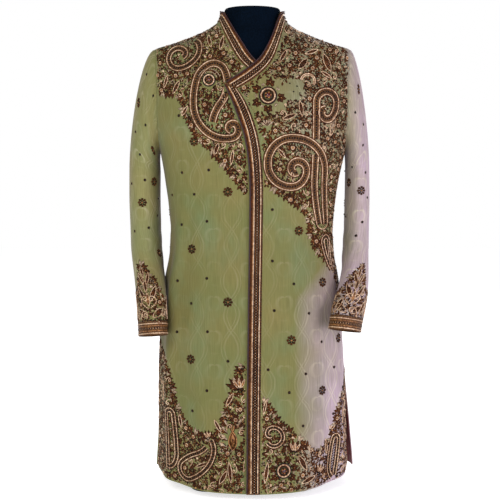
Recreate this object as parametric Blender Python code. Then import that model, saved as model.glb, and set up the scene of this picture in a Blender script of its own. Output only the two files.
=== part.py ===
"""Sherwani coat on a limbless dress form.

Metres, +Z up, the coat's front faces -Y, and +X is the wearer's left side.
The origin is on the floor, under the middle of the form's base plate.

Every cloth piece lies on one body surface. A point of that surface has a place round the
body and a height: place -1 is the wearer's right side seam, 0 the centre front, 1 the left
side seam and 2 the centre back. Walls are made along the surface's own normals, so that
two pieces meet squarely at a seam.
"""

import math
from collections import namedtuple

import bmesh
import bpy
from mathutils import Vector

# Cloth
WALL = 0.0020
BORDER_EXTRA = 0.0006
LINING_WALL = 0.0010
SEAM_GAP = 0.0003
MITRE_GAP = 0.00042

# Heights on the coat, from the floor
HEM_SIDE = 0.040
HEM_DIP_FRONT = 0.025
HEM_BACK = 0.031
HEM_FADE = 0.110
HEM_CORNER = 0.010
SLIT_TOP = 0.312
LINING_TOP = 0.350
UNDERARM = 0.765
SHOULDER_POINT = 1.004
NECK_SEAM = 1.064

# Armhole: an oval that is a little narrower towards the shoulder
ARMHOLE_MIDDLE = (UNDERARM + SHOULDER_POINT) / 2
ARMHOLE_HALF_HEIGHT = (SHOULDER_POINT - UNDERARM) / 2
ARMHOLE_HALF_DEPTH = 0.066
ARMHOLE_TAPER = 0.14

# The overlapping front is raised to lie on the one beneath. Sideways and upwards it comes back
# down to the body surface, each from one place and over one distance.
LAP_LIFT = 0.0028
LAP_SIDE_FROM = 0.092
LAP_SIDE_FADE = 0.045
LAP_TOP_FROM = 0.985
LAP_TOP_FADE = 0.035

# Back skirt panel, which swings out past the front at each side slit
FLARE_LEFT = 0.015
FLARE_RIGHT = 0.005
FLARE_REACH = 0.26
FLARE_HASTE = 1.1

# Dress form and its stand
FORM_CLEARANCE = 0.010
FORM_SHOULDER_CLEARANCE = 0.0011
FORM_NECK_CLEARANCE = 0.0062
FORM_ARM_PLATE_INSET = 0.006
FORM_CHEST = 0.930
FORM_CHEST_FADE = 0.060
FORM_NECK = 1.030
FORM_NECK_FADE = 0.035
FORM_BOTTOM = 0.288
FORM_HIP = 0.335
FORM_TOP = 1.0955
POLE_RADIUS = 0.0125
PLATE_LENGTH = 0.280
PLATE_DEPTH = 0.200
PLATE_THICKNESS = 0.008
PLATE_CORNER = 0.040
PLATE_EDGE = 0.0015
BottomRing = namedtuple("BottomRing", "rise inset")
# The form's rounded lower edge: rings above its underside, each drawn in from the hip
FORM_LOWER_EDGE = (BottomRing(0.0, 0.050), BottomRing(0.004, 0.032), BottomRing(0.018, 0.018))
FORM_RINGS = (
    *(FORM_HIP, 0.380, 0.430, 0.480, 0.530, 0.575, 0.620, 0.665, 0.710, 0.750, 0.790),
    *(0.830, 0.870, 0.905),
)
FORM_COLUMNS = 40
FORM_TOP_EDGE = 0.002
FORM_NECK_RING = 1.080

Section = namedtuple("Section", "z half_width front back roundness shift")
# The coat's outline as horizontal sections: half width, depth in front of and behind the side
# seams, how square the section is (2 is an ellipse), and how far it sits to the wearer's left.
SECTIONS = (
    Section(0.010, 0.2235, 0.160, 0.152, 2.20, 0.003),
    Section(0.040, 0.2225, 0.158, 0.150, 2.20, 0.003),
    Section(0.110, 0.2195, 0.154, 0.148, 2.25, 0.003),
    Section(0.180, 0.2190, 0.151, 0.146, 2.25, 0.002),
    Section(0.255, 0.2175, 0.147, 0.144, 2.30, 0.001),
    Section(0.333, 0.2140, 0.142, 0.140, 2.30, 0.000),
    Section(0.400, 0.2090, 0.137, 0.136, 2.30, 0.000),
    Section(0.467, 0.2030, 0.131, 0.130, 2.30, 0.000),
    Section(0.537, 0.1905, 0.122, 0.120, 2.35, 0.000),
    Section(0.591, 0.1885, 0.118, 0.113, 2.35, 0.000),
    Section(0.636, 0.1915, 0.120, 0.114, 2.35, 0.000),
    Section(0.690, 0.1985, 0.127, 0.121, 2.35, 0.000),
    Section(0.722, 0.2040, 0.130, 0.126, 2.35, 0.001),
    Section(0.765, 0.2130, 0.134, 0.130, 2.35, 0.002),
    Section(0.800, 0.2230, 0.135, 0.132, 2.38, 0.002),
    Section(0.850, 0.2340, 0.133, 0.132, 2.40, 0.002),
    Section(0.900, 0.2375, 0.124, 0.127, 2.40, 0.002),
    Section(0.940, 0.2385, 0.110, 0.118, 2.35, 0.002),
    Section(0.970, 0.2350, 0.097, 0.106, 2.25, 0.002),
    Section(0.990, 0.2300, 0.089, 0.097, 2.10, 0.002),
    Section(1.004, 0.2235, 0.084, 0.091, 1.95, 0.002),
    Section(1.012, 0.1960, 0.081, 0.087, 1.85, 0.002),
    Section(1.027, 0.1530, 0.0765, 0.080, 1.70, 0.002),
    Section(1.036, 0.1310, 0.0745, 0.076, 1.65, 0.002),
    Section(1.046, 0.1085, 0.0720, 0.072, 1.70, 0.002),
    Section(1.057, 0.0905, 0.0700, 0.069, 1.85, 0.002),
    Section(1.066, 0.0800, 0.0685, 0.066, 2.00, 0.002),
    Section(1.082, 0.0735, 0.0665, 0.063, 2.05, 0.002),
    Section(1.110, 0.0710, 0.0655, 0.061, 2.05, 0.002),
)

Fold = namedtuple("Fold", "place width height bottom top")
# Soft flutes: where each runs, how wide it is in places, how far it stands out, and the
# heights between which it shows.
FOLDS = (
    Fold(-0.64, 0.085, 0.0045, 0.00, 0.72),
    Fold(-0.28, 0.110, 0.0025, 0.00, 0.36),
    Fold(0.34, 0.120, 0.0030, 0.00, 0.48),
    Fold(0.70, 0.100, 0.0045, 0.00, 0.56),
    Fold(1.30, 0.120, 0.0060, 0.00, 0.50),
    Fold(1.66, 0.110, 0.0050, 0.00, 0.44),
    Fold(2.03, 0.090, 0.0040, 0.00, 0.58),
    Fold(2.36, 0.120, 0.0055, 0.00, 0.46),
    Fold(2.72, 0.110, 0.0055, 0.00, 0.52),
)
FOLD_FADE = 0.22
TROUGH_SHARE = 0.45
TROUGH_AWAY = 1.7

Edge = namedtuple("Edge", "z x")
# Front edge of the overlapping left front, from the hem to the lapel's point
FRONT_EDGE = (
    Edge(0.000, -0.0115),
    Edge(0.150, -0.0103),
    Edge(0.300, -0.0090),
    Edge(0.450, -0.0070),
    Edge(0.600, -0.0048),
    Edge(0.680, -0.0042),
    Edge(0.722, -0.0055),
    Edge(0.765, -0.0095),
    Edge(0.803, -0.0165),
    Edge(0.835, -0.0265),
    Edge(0.870, -0.0400),
    Edge(0.895, -0.0510),
    Edge(0.9147, -0.0606),
)
# Inner line of the front border, where the left front is sewn to it
BORDER_INNER = (
    Edge(0.000, 0.0180),
    Edge(0.150, 0.0192),
    Edge(0.300, 0.0205),
    Edge(0.450, 0.0225),
    Edge(0.600, 0.0247),
    Edge(0.680, 0.0253),
    Edge(0.722, 0.0240),
    Edge(0.765, 0.0203),
    Edge(0.803, 0.0137),
    Edge(0.835, 0.0042),
    Edge(0.870, -0.0100),
    Edge(0.895, -0.0250),
    Edge(0.9037, -0.0310),
)
# Hidden edge of the right front under the lap, up to where the collar takes over
UNDERLAP = (
    Edge(0.000, 0.0620),
    Edge(0.600, 0.0640),
    Edge(0.835, 0.0600),
    Edge(0.880, 0.0520),
    Edge(0.9037, 0.0420),
    Edge(0.9147, 0.0330),
    Edge(0.9310, 0.0130),
)
UNDERLAP_TOP = 0.9310

Station = namedtuple("Station", "z seam_x free_x free_z")
# The collar band, as points of its seam, each with the point of its free edge across from it.
# The left side starts at the lapel's point, and the right side starts under the lap.
COLLAR_LEFT = (
    Station(0.9037, -0.0310, -0.0606, 0.9147),
    Station(0.9100, -0.0185, -0.0343, 0.9318),
    Station(0.9280, 0.0084, -0.0083, 0.9500),
    Station(0.9536, 0.0361, 0.0163, 0.9720),
    Station(0.9755, 0.0500, 0.0278, 0.9890),
    Station(1.0025, 0.0595, 0.0397, 1.0128),
    Station(1.0310, 0.0680, 0.0515, 1.0440),
    Station(1.0515, 0.0735, 0.0600, 1.0690),
    Station(NECK_SEAM, 0.0770, 0.0690, 1.0870),
)
COLLAR_RIGHT = (
    Station(0.9310, 0.0130, 0.0290, 0.9490),
    Station(0.9505, -0.0090, 0.0108, 0.9670),
    Station(0.9680, -0.0270, -0.0050, 0.9850),
    Station(0.9955, -0.0440, -0.0198, 1.0090),
    Station(1.0225, -0.0568, -0.0348, 1.0347),
    Station(1.0420, -0.0650, -0.0475, 1.0580),
    Station(NECK_SEAM, -0.0735, -0.0630, 1.0850),
)
COLLAR_UNDER_LAP = 0.9600
COLLAR_FREE_SIDE = 1.0915
COLLAR_FREE_BACK = 1.0985
COLLAR_COLUMNS = 3

Ring = namedtuple("Ring", "z x y half_across half_along turn tilt")
# Sleeves, wearer's left and right: the centre of each ring, its half sizes across and along
# the arm's swing, how far it turns in towards the front, and how far its front edge rises.
LEFT_SLEEVE = (
    Ring(0.720, 0.2462, 0.004, 0.0275, 0.0640, 0, 0),
    Ring(0.660, 0.2468, 0.009, 0.0285, 0.0610, 0, 0),
    Ring(0.600, 0.2458, 0.010, 0.0292, 0.0580, 2, 2),
    Ring(0.540, 0.2425, 0.000, 0.0308, 0.0560, 5, 6),
    Ring(0.490, 0.2382, -0.030, 0.0314, 0.0540, 12, 10),
    Ring(0.445, 0.2270, -0.075, 0.0330, 0.0515, 20, 13),
    Ring(0.405, 0.2140, -0.106, 0.0338, 0.0490, 25, 14),
    Ring(0.370, 0.2065, -0.119, 0.0332, 0.0470, 27, 14),
)
RIGHT_SLEEVE = (
    Ring(0.720, 0.2480, 0.004, 0.0360, 0.0620, 0, 0),
    Ring(0.660, 0.2490, 0.009, 0.0360, 0.0590, 0, 0),
    Ring(0.600, 0.2476, 0.010, 0.0358, 0.0570, 0, 2),
    Ring(0.540, 0.2440, 0.000, 0.0365, 0.0550, 3, 5),
    Ring(0.473, 0.2325, -0.045, 0.0350, 0.0530, 8, 9),
    Ring(0.412, 0.2240, -0.088, 0.0322, 0.0500, 12, 12),
    Ring(0.356, 0.2200, -0.104, 0.0317, 0.0470, 14, 13),
)
CUFF_HEIGHT = 0.029
SLEEVE_CAP_RINGS = 7
CAP_OUT_LEFT = 0.022
CAP_OUT_RIGHT = 0.034
CAP_OUT_UNDERARM = 0.004
CAP_DROP_TOP = 0.100
CAP_DROP_UNDERARM = 0.010
CAP_DROP_INSIDE = 0.985
CAP_SINK = -0.002
SLEEVE_STEP = 0.030
Crease = namedtuple("Crease", "z depth width")
ELBOW_CREASES = (
    Crease(0.585, 0.0030, 0.012),
    Crease(0.545, 0.0035, 0.013),
    Crease(0.500, 0.0025, 0.012),
)
ELBOW_INSIDE = math.radians(130)

# Rows of the panels. Those of the armhole are also the columns of the sleeves.
SKIRT_ROWS = (0.040, 0.055, 0.080, 0.115, 0.150, 0.190, 0.230, 0.270, SLIT_TOP, 0.350)
WAIST_ROWS = (0.395, 0.440, 0.485, 0.525, 0.560, 0.595, 0.635, 0.675, 0.722)
ARMHOLE_ROWS = (
    *(UNDERARM, 0.771, 0.784, 0.805, 0.835, 0.862, 0.884, 0.9037),
    *(0.9245, 0.947, 0.966, 0.982, 0.995, 1.002, SHOULDER_POINT),
)
LAPEL_ROWS = (0.9147, 0.9350)
SHOULDER_ROWS = (1.008, 1.013, 1.020, 1.028, 1.036, 1.045, 1.054, NECK_SEAM)

FRONT_COLUMNS = 11
BACK_COLUMNS = 18

Finish = namedtuple("Finish", "colour roughness metallic")
BROCADE = Finish((0.36, 0.34, 0.19), 0.55, 0.0)
BORDER = Finish((0.27, 0.16, 0.08), 0.50, 0.2)
LINING = Finish((0.12, 0.008, 0.012), 0.45, 0.0)
FORM_COVER = Finish((0.006, 0.012, 0.022), 0.80, 0.0)
STEEL = Finish((0.05, 0.05, 0.055), 0.40, 0.9)


def clear_scene():
    """Removes the start-up objects."""
    for item in list(bpy.data.objects):
        bpy.data.objects.remove(item)


def make_collection(name):
    """A collection for the object's parts."""
    made = bpy.data.collections.new(name)
    bpy.context.scene.collection.children.link(made)
    return made


def material(name, finish):
    """A plain Principled material."""
    made = bpy.data.materials.new(name)
    made.use_nodes = True
    shader = made.node_tree.nodes["Principled BSDF"]
    shader.inputs["Base Color"].default_value = (*finish.colour, 1.0)
    shader.inputs["Roughness"].default_value = finish.roughness
    shader.inputs["Metallic"].default_value = finish.metallic
    return made


def mix(low, high, share):
    """The value that lies share of the way from low to high."""
    return low + (high - low) * share


def ease(share):
    """0 to 1 with soft ends."""
    held = min(1.0, max(0.0, share))
    return held * held * (3 - 2 * held)


def smooth_curve(knots, values):
    """A function through the points, smooth and without overshoot (a monotone cubic)."""
    steps = [high - low for low, high in zip(knots, knots[1:])]
    rises = [(high - low) / step for low, high, step in zip(values, values[1:], steps)]
    slopes = [rises[0]]
    for before, after in zip(rises, rises[1:]):
        slopes.append(2 * before * after / (before + after) if before * after > 0 else 0.0)
    slopes.append(rises[-1])

    def at(position):
        held = min(knots[-1], max(knots[0], position))
        index = sum(1 for knot in knots[1:-1] if knot <= held)
        step = steps[index]
        t = (held - knots[index]) / step
        start, end = values[index], values[index + 1]
        bend = (2 * t**3 - 3 * t**2 + 1) * start + (3 * t**2 - 2 * t**3) * end
        lean = (t**3 - 2 * t**2 + t) * slopes[index] + (t**3 - t**2) * slopes[index + 1]
        return bend + lean * step

    return at


def column(table, name, knots="z"):
    """A smooth function of one named column of a table."""
    ordered = sorted(table, key=lambda row: getattr(row, knots))
    return smooth_curve([getattr(row, knots) for row in ordered], [getattr(row, name) for row in ordered])


half_width_at = column(SECTIONS, "half_width")
front_at = column(SECTIONS, "front")
back_at = column(SECTIONS, "back")
roundness_at = column(SECTIONS, "roundness")
shift_at = column(SECTIONS, "shift")
front_edge_at = column(FRONT_EDGE, "x")
border_inner_at = column(BORDER_INNER, "x")
underlap_at = column(UNDERLAP, "x")
left_seam_at = column(COLLAR_LEFT, "seam_x")
right_seam_at = column(COLLAR_RIGHT, "seam_x")


def section_point(place, z):
    """The plain section, before folds."""
    in_front = -1 <= place <= 1
    angle = (place if in_front else 2 - place) * math.pi / 2
    power = 2 / roundness_at(z)
    x = math.copysign(abs(math.sin(angle)) ** power, math.sin(angle)) * half_width_at(z)
    depth = abs(math.cos(angle)) ** power
    y = -front_at(z) * depth if in_front else back_at(z) * depth
    return Vector((shift_at(z) + x, y, z))


def fold_height(place, z):
    """How far the soft folds push the cloth out."""
    total = 0.0
    for fold in FOLDS:
        away = abs(place - fold.place)
        away = min(away, 4 - away) / fold.width
        fade = ease((fold.top - z) / FOLD_FADE) * ease((z - fold.bottom + FOLD_FADE) / FOLD_FADE)
        trough = TROUGH_SHARE * math.exp(-((away - TROUGH_AWAY) ** 2))
        total += fold.height * fade * (math.exp(-away * away) - trough)
    return total


def outward(place, z):
    """The section's horizontal normal."""
    along = section_point(place + 0.01, z) - section_point(place - 0.01, z)
    return Vector((-along.y, along.x, 0)).normalized() * -1


def body_point(place, z):
    """A point of the coat's outer surface."""
    place = (place + 1) % 4 - 1
    return section_point(place, z) + outward(place, z) * fold_height(place, z)


def body_normal(place, z):
    """The surface's normal, pointing away from the body."""
    across = body_point(place + 0.01, z) - body_point(place - 0.01, z)
    upward = body_point(place, z + 0.001) - body_point(place, z - 0.001)
    return across.cross(upward).normalized()


def place_of(x, z):
    """The place on the front of the point with this x."""
    share = (x - shift_at(z)) / half_width_at(z)
    share = max(-1.0, min(1.0, share))
    angle = math.asin(abs(share) ** (roundness_at(z) / 2))
    return math.copysign(angle * 2 / math.pi, share)


def armhole_depth(z):
    """Half the armhole's depth, front to back, at this height."""
    height = (z - ARMHOLE_MIDDLE) / ARMHOLE_HALF_HEIGHT
    if abs(height) >= 1:
        return 0.0
    return ARMHOLE_HALF_DEPTH * math.sqrt(1 - height * height) * (1 - ARMHOLE_TAPER * height)


def armhole_place(z, depth_at):
    """How far round from the centre the armhole's edge is. It is 1, the side, outside it."""
    share = armhole_depth(z) / depth_at(z)
    angle = math.acos(share ** (roundness_at(z) / 2))
    return angle * 2 / math.pi


def moved_along(place, z, distance):
    """The place this far round the section, in metres."""
    speed = (section_point(place + 0.01, z) - section_point(place - 0.01, z)).length / 0.02
    return place + distance / speed


def slant(edge_at, z):
    """How much longer a level step is than a square one, where an edge slants."""
    slope = (edge_at(z + 0.002) - edge_at(z - 0.002)) / 0.004
    return math.sqrt(1 + slope * slope)


def front_hem(place):
    """Height of the front hem: it dips at the centre and its slit corners are rounded."""
    edge = ease((abs(place) - 0.90) / 0.10)
    return HEM_SIDE - HEM_DIP_FRONT * max(0.0, math.cos(place * math.pi / 2)) ** 1.2 + HEM_CORNER * edge * edge


def back_hem(place):
    """Height of the back hem, which is level and hangs a little lower at the slits."""
    return HEM_BACK


def row_height(row, place, hem):
    """A row's height at a place: the lowest rows follow the hem."""
    return row + (hem(place) - HEM_SIDE) * (1 - ease((row - HEM_SIDE) / HEM_FADE))


def lap_lift(place, z):
    """How far the overlapping front is raised to lie on the front beneath it."""
    x = section_point(place, z).x
    beside = 1 - ease((x - LAP_SIDE_FROM) / LAP_SIDE_FADE)
    below_neck = 1 - ease((z - LAP_TOP_FROM) / LAP_TOP_FADE)
    return LAP_LIFT * beside * below_neck


def wall_pair(place, z, lift=0.0, wall=WALL):
    """An outer and an inner point of a wall on the body surface."""
    point, normal = body_point(place, z), body_normal(place, z)
    return point + normal * lift, point + normal * (lift - wall)


def closed_loft(name, rows, finish, parts, wrap=False):
    """A wall lofted through rows of (outer, inner) points, with its rims closed."""
    mesh = bmesh.new()
    outer = [[mesh.verts.new(pair[0]) for pair in row] for row in rows]
    inner = [[mesh.verts.new(pair[1]) for pair in row] for row in rows]
    columns = len(rows[0])
    spans = columns if wrap else columns - 1

    def quad(a, b, c, d, turned=False):
        mesh.faces.new((b, c, d) if turned else (a, b, c))
        mesh.faces.new((b, d, a) if turned else (a, c, d))

    for low in range(len(rows) - 1):
        for left in range(spans):
            right = (left + 1) % columns
            a, b = outer[low][left], outer[low][right]
            c, d = outer[low + 1][right], outer[low + 1][left]
            turned = (a.co - c.co).length > (b.co - d.co).length
            quad(a, b, c, d, turned)
            quad(
                inner[low][right], inner[low][left],
                inner[low + 1][left], inner[low + 1][right], not turned
            )
    for left in range(spans):
        right = (left + 1) % columns
        quad(inner[0][left], inner[0][right], outer[0][right], outer[0][left])
        quad(outer[-1][left], outer[-1][right], inner[-1][right], inner[-1][left])
    if not wrap:
        for low in range(len(rows) - 1):
            quad(inner[low + 1][0], inner[low][0], outer[low][0], outer[low + 1][0])
            quad(outer[low + 1][-1], outer[low][-1], inner[low][-1], inner[low + 1][-1])
    return finished(name, mesh, finish, parts)


def finished(name, mesh, finish, parts):
    """Turns a bmesh into a named, smooth-shaded object with its material."""
    if mesh.calc_volume(signed=True) < 0:
        bmesh.ops.reverse_faces(mesh, faces=mesh.faces)
    data = bpy.data.meshes.new(name)
    mesh.to_mesh(data)
    mesh.free()
    data.shade_smooth()
    data.set_sharp_from_angle(angle=math.radians(50))
    data.materials.append(finish)
    made = bpy.data.objects.new(name, data)
    parts.objects.link(made)
    return made


def panel_rows(heights, left_at, right_at, columns, hem, lift_at=None):
    """The rows of a panel between two edges, each given as a function of the height."""
    rows = []
    for row in heights:
        left, right = left_at(row), right_at(row)
        pairs = []
        for step in range(columns + 1):
            place = mix(left, right, step / columns)
            z = row_height(row, place, hem)
            lift = lift_at(place, z) if lift_at else 0.0
            pairs.append(wall_pair(place, z, lift))
        rows.append(pairs)
    return rows


def side_edge(z):
    """Place of a front's side edge: side seam, armhole, then shoulder seam."""
    if UNDERARM < z < SHOULDER_POINT:
        return armhole_place(z, front_at)
    return moved_along(1.0, z, -SEAM_GAP / 2)


def body_rows():
    """Every row height of a front or back panel, in order."""
    return sorted({*SKIRT_ROWS, *WAIST_ROWS, *ARMHOLE_ROWS, *LAPEL_ROWS, *SHOULDER_ROWS})


def left_front(finish, parts):
    """The overlapping front, sewn to the border and the collar at its inner edge."""

    def inner_edge(z):
        edge_at = border_inner_at if z <= COLLAR_LEFT[0].z else left_seam_at
        slope = slant(edge_at, z)
        return moved_along(place_of(edge_at(z), z), z, SEAM_GAP / 2 * slope)

    rows = panel_rows(body_rows(), inner_edge, side_edge, FRONT_COLUMNS, front_hem, lap_lift)
    return closed_loft("left_front", rows, finish, parts)


def right_front(finish, parts):
    """The front beneath, which runs on under the lap."""

    def outer_edge(z):
        return -side_edge(z)

    def inner_edge(z):
        if z <= UNDERLAP_TOP:
            return place_of(underlap_at(z), z)
        slope = slant(right_seam_at, z)
        return moved_along(place_of(right_seam_at(z), z), z, -SEAM_GAP / 2 * slope)

    rows = panel_rows(
        sorted({*body_rows(), UNDERLAP_TOP}), outer_edge, inner_edge, FRONT_COLUMNS, front_hem
    )
    return closed_loft("right_front", rows, finish, parts)


def back_flare(place, z):
    """How far the back skirt swings out beside its slits."""
    down = ease((SLIT_TOP - z) / SLIT_TOP * FLARE_HASTE)
    left = FLARE_LEFT * ease(1 - (place - 1) / FLARE_REACH)
    right = FLARE_RIGHT * ease(1 - (3 - place) / FLARE_REACH)
    return (left + right) * down


def back_panel(name, heights, finish, parts, depth=0.0, wall=WALL):
    """The back, or with a depth a layer beneath it, on the same rows and columns."""

    def edge(z):
        if UNDERARM < z < SHOULDER_POINT:
            return 2 - armhole_place(z, back_at)
        return moved_along(1.0, z, SEAM_GAP / 2)

    rows = []
    for row in heights:
        near = edge(row)
        pairs = []
        for step in range(BACK_COLUMNS + 1):
            place = mix(near, 4 - near, step / BACK_COLUMNS)
            z = row_height(row, place, back_hem)
            pairs.append(wall_pair(place, z, back_flare(place, z) - depth, wall))
        rows.append(pairs)
    return closed_loft(name, rows, finish, parts)


def back(finish, parts):
    """The back, in one piece."""
    return back_panel("back", body_rows(), finish, parts)


def back_lining(finish, parts):
    """The lining of the back skirt, which shows at the side slits."""
    heights = [row for row in SKIRT_ROWS if row <= LINING_TOP]
    return back_panel("back_lining", heights, finish, parts, WALL + SEAM_GAP, LINING_WALL)


def collar_lines():
    """The collar's cross lines, each as seam place and height, free place and height.

    They run from the lapel's point up to the left side, round the back and down to the under
    end, on the rows and columns of the panels. Places go on past the centre back at 2."""
    lines = []
    for table, turn in ((COLLAR_LEFT, 0), (COLLAR_RIGHT, 4)):
        shape = {name: column(table, name) for name in Station._fields[1:]}
        side = []
        for z in sorted({*body_rows(), UNDERLAP_TOP}):
            if table[0].z <= z <= table[-1].z:
                free_z = shape["free_z"](z)
                free = place_of(shape["free_x"](z), free_z) + turn
                side.append((place_of(shape["seam_x"](z), z) + turn, z, free, free_z))
        lines += side if turn == 0 else reversed(side)
    near = moved_along(1.0, NECK_SEAM, SEAM_GAP / 2)
    around = []
    for step in range(BACK_COLUMNS + 1):
        place = mix(near, 4 - near, step / BACK_COLUMNS)
        share = math.sin((place - 1) * math.pi / 2)
        around.append((place, NECK_SEAM, place, mix(COLLAR_FREE_SIDE, COLLAR_FREE_BACK, share)))
    split = next(index for index, line in enumerate(lines) if line[0] > 1)
    return [*lines[:split], *around, *lines[split:]]


def collar(finish, parts):
    """The neck band: it starts at the lapel's point, stands round the neck, and ends under the lap."""
    rows = []
    lines = collar_lines()
    for number, (seam, seam_z, free, free_z) in enumerate(lines):
        on_left = seam < 1.5
        if number == 0:
            seam, free = (moved_along(p, z, 0.0006) for p, z in ((seam, seam_z), (free, free_z)))
        under = not on_left and seam_z < COLLAR_UNDER_LAP
        extra = 0.0 if under else BORDER_EXTRA
        length = (body_point(seam, seam_z) - body_point(free, free_z)).length
        pairs = []
        for step in range(COLLAR_COLUMNS + 1):
            share = max(step / COLLAR_COLUMNS, SEAM_GAP / length)
            place, z = mix(seam, free, share), mix(seam_z, free_z, share)
            lift = lap_lift(place, z) if on_left else 0.0
            pairs.append(wall_pair(place, z, lift + extra, WALL + extra))
        rows.append(pairs)
    return closed_loft("collar", rows, finish, parts)


def front_border(finish, parts):
    """The border down the overlapping edge, from the lapel's point to the hem."""
    heights = [row for row in body_rows() if row <= COLLAR_LEFT[0].z]
    rows = []
    for row in heights:
        top = row == heights[-1]
        free_z = COLLAR_LEFT[0].free_z if top else row
        ends = (
            (place_of(border_inner_at(row), row), row),
            (place_of(front_edge_at(free_z), free_z), free_z),
        )
        pairs = []
        for step in range(3):
            place = mix(ends[0][0], ends[1][0], step / 2)
            level = mix(ends[0][1], ends[1][1], step / 2)
            if step == 0:
                place = moved_along(place, level, -SEAM_GAP / 2 * slant(border_inner_at, level))
            if top:
                level -= MITRE_GAP
            z = row_height(level, place, front_hem)
            lift = lap_lift(place, z) + BORDER_EXTRA
            pairs.append(wall_pair(place, z, lift, WALL + BORDER_EXTRA))
        rows.append(pairs)
    return closed_loft("front_border", rows, finish, parts)


def armhole_point(angle, side):
    """A point of the armhole's edge. Angle 0 is the shoulder, a quarter turn is the front."""
    z = ARMHOLE_MIDDLE + ARMHOLE_HALF_HEIGHT * math.cos(angle)
    depth_at = front_at if math.sin(angle) >= 0 else back_at
    depth = armhole_depth(z)
    share = (1 - (depth / depth_at(z)) ** roundness_at(z)) ** (1 / roundness_at(z))
    x = shift_at(z) + side * half_width_at(z) * share
    return Vector((x + side * SEAM_GAP, -math.copysign(depth, math.sin(angle)), z))


def sleeve_angles():
    """The sleeve's columns, one for each armhole row on the front and on the back."""
    heights = [(z - ARMHOLE_MIDDLE) / ARMHOLE_HALF_HEIGHT for z in reversed(ARMHOLE_ROWS)]
    down = [math.acos(max(-1.0, min(1.0, height))) for height in heights]
    return down + [2 * math.pi - angle for angle in reversed(down[1:-1])]


def ring_shape(table):
    """Smooth functions of the height for a sleeve's rings."""
    return {name: column(table, name) for name in Ring._fields[1:]}


def ring_point(shape, z, angle, side, inset=0.0):
    """A point of a sleeve's ring. Angle 0 is the outer side and a quarter turn is the front."""
    crease = sum(
        crease.depth * math.exp(-(((z - crease.z) / crease.width) ** 2)) for crease in ELBOW_CREASES
    )
    crease *= max(0.0, math.cos(angle - ELBOW_INSIDE)) ** 2
    across = (shape["half_across"](z) - inset - crease) * math.cos(angle)
    along = (shape["half_along"](z) - inset - crease) * math.sin(angle)
    turn, tilt = math.radians(shape["turn"](z)), math.radians(shape["tilt"](z))
    x = shape["x"](z) + across * math.cos(turn) - along * math.sin(turn)
    y = shape["y"](z) - along * math.cos(turn) * math.cos(tilt) - across * math.sin(turn)
    rise = along * math.sin(tilt)
    return Vector((side * x, y, z + rise))


def cap_point(start, end, out, drop, share):
    """A cubic curve that leaves the armhole level and arrives at the arm going down."""
    lead = start + out
    settle = end + Vector((0, 0, drop))
    left = 1 - share
    return (
        start * left**3 + lead * (3 * left**2 * share)
        + settle * (3 * left * share**2) + end * share**3
    )


def sleeve_rows(table, side, top, bottom, cap):
    """Rows of (outer, inner) points from the armhole or a cut down to another cut."""
    shape = ring_shape(table)
    angles = sleeve_angles()
    rows = []
    if cap:
        centre = sum((armhole_point(angle, side) for angle in angles), Vector()) / len(angles)
        out_top = CAP_OUT_LEFT if side > 0 else CAP_OUT_RIGHT
        for step in range(SLEEVE_CAP_RINGS):
            share = step / SLEEVE_CAP_RINGS
            pairs = []
            for angle in angles:
                lean = (1 + math.cos(angle)) / 2
                out = Vector((side * mix(CAP_OUT_UNDERARM, out_top, lean), 0, CAP_SINK * lean))
                drop = mix(CAP_DROP_UNDERARM, CAP_DROP_TOP, lean)
                start = armhole_point(angle, side)
                inward = centre - start
                inward.x = 0
                end = ring_point(shape, top, angle, side)
                end_inner = ring_point(shape, top, angle, side, WALL)
                start_inner = start + inward.normalized() * WALL
                pairs.append((
                    cap_point(start, end, out, drop, share),
                    cap_point(start_inner, end_inner, out, drop * CAP_DROP_INSIDE, share),
                ))
            rows.append(pairs)
    count = max(1, round((top - bottom) / SLEEVE_STEP))
    for step in range(count + 1):
        z = mix(top, bottom, step / count)
        rows.append([
            (ring_point(shape, z, angle, side), ring_point(shape, z, angle, side, WALL))
            for angle in angles
        ])
    return rows


def sleeve(name, table, side, finish, parts):
    """A sleeve, from the armhole to the top of its cuff band."""
    bottom = table[-1].z + CUFF_HEIGHT + SEAM_GAP
    rows = sleeve_rows(table, side, table[0].z, bottom, cap=True)
    return closed_loft(name, rows, finish, parts, wrap=True)


def cuff(name, table, side, finish, parts):
    """The embroidered band at the end of a sleeve, slightly thicker than the cloth."""
    shape = ring_shape(table)
    rows = []
    for z in (table[-1].z + CUFF_HEIGHT, table[-1].z + CUFF_HEIGHT / 2, table[-1].z):
        rows.append([
            (ring_point(shape, z, angle, side, -BORDER_EXTRA), ring_point(shape, z, angle, side, WALL))
            for angle in sleeve_angles()
        ])
    return closed_loft(name, rows, finish, parts, wrap=True)


def form_clearance(z):
    """Room between the form and the coat's inside: least on the shoulders, which carry it."""
    near_shoulder = ease((z - FORM_CHEST) / FORM_CHEST_FADE)
    room = mix(FORM_CLEARANCE, FORM_SHOULDER_CLEARANCE, near_shoulder)
    return mix(room, FORM_NECK_CLEARANCE, ease((z - FORM_NECK) / FORM_NECK_FADE))


def form_ring(z, inset, count):
    """One ring of the form, cut flat at the arm plates."""
    ring = []
    depth = armhole_depth(z)
    plate = half_width_at(z) * (1 - (depth / front_at(z)) ** roundness_at(z)) ** (1 / roundness_at(z))
    limit = plate - FORM_ARM_PLATE_INSET if depth > 0 else 1.0
    for step in range(count):
        place = -1 + 4 * step / count
        point = section_point(place, z) - surface_normal(place, z) * (WALL + inset)
        shift = shift_at(z)
        point.x = shift + max(-limit, min(limit, point.x - shift))
        ring.append(point)
    return ring


def surface_normal(place, z):
    """The normal of the plain sections, without folds."""
    place = (place + 1) % 4 - 1
    round_by, up_by = 0.01, 0.001
    around = [(place + step + 1) % 4 - 1 for step in (round_by, -round_by)]
    across = section_point(around[0], z) - section_point(around[1], z)
    upward = section_point(place, z + up_by) - section_point(place, z - up_by)
    return across.cross(upward).normalized()


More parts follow.
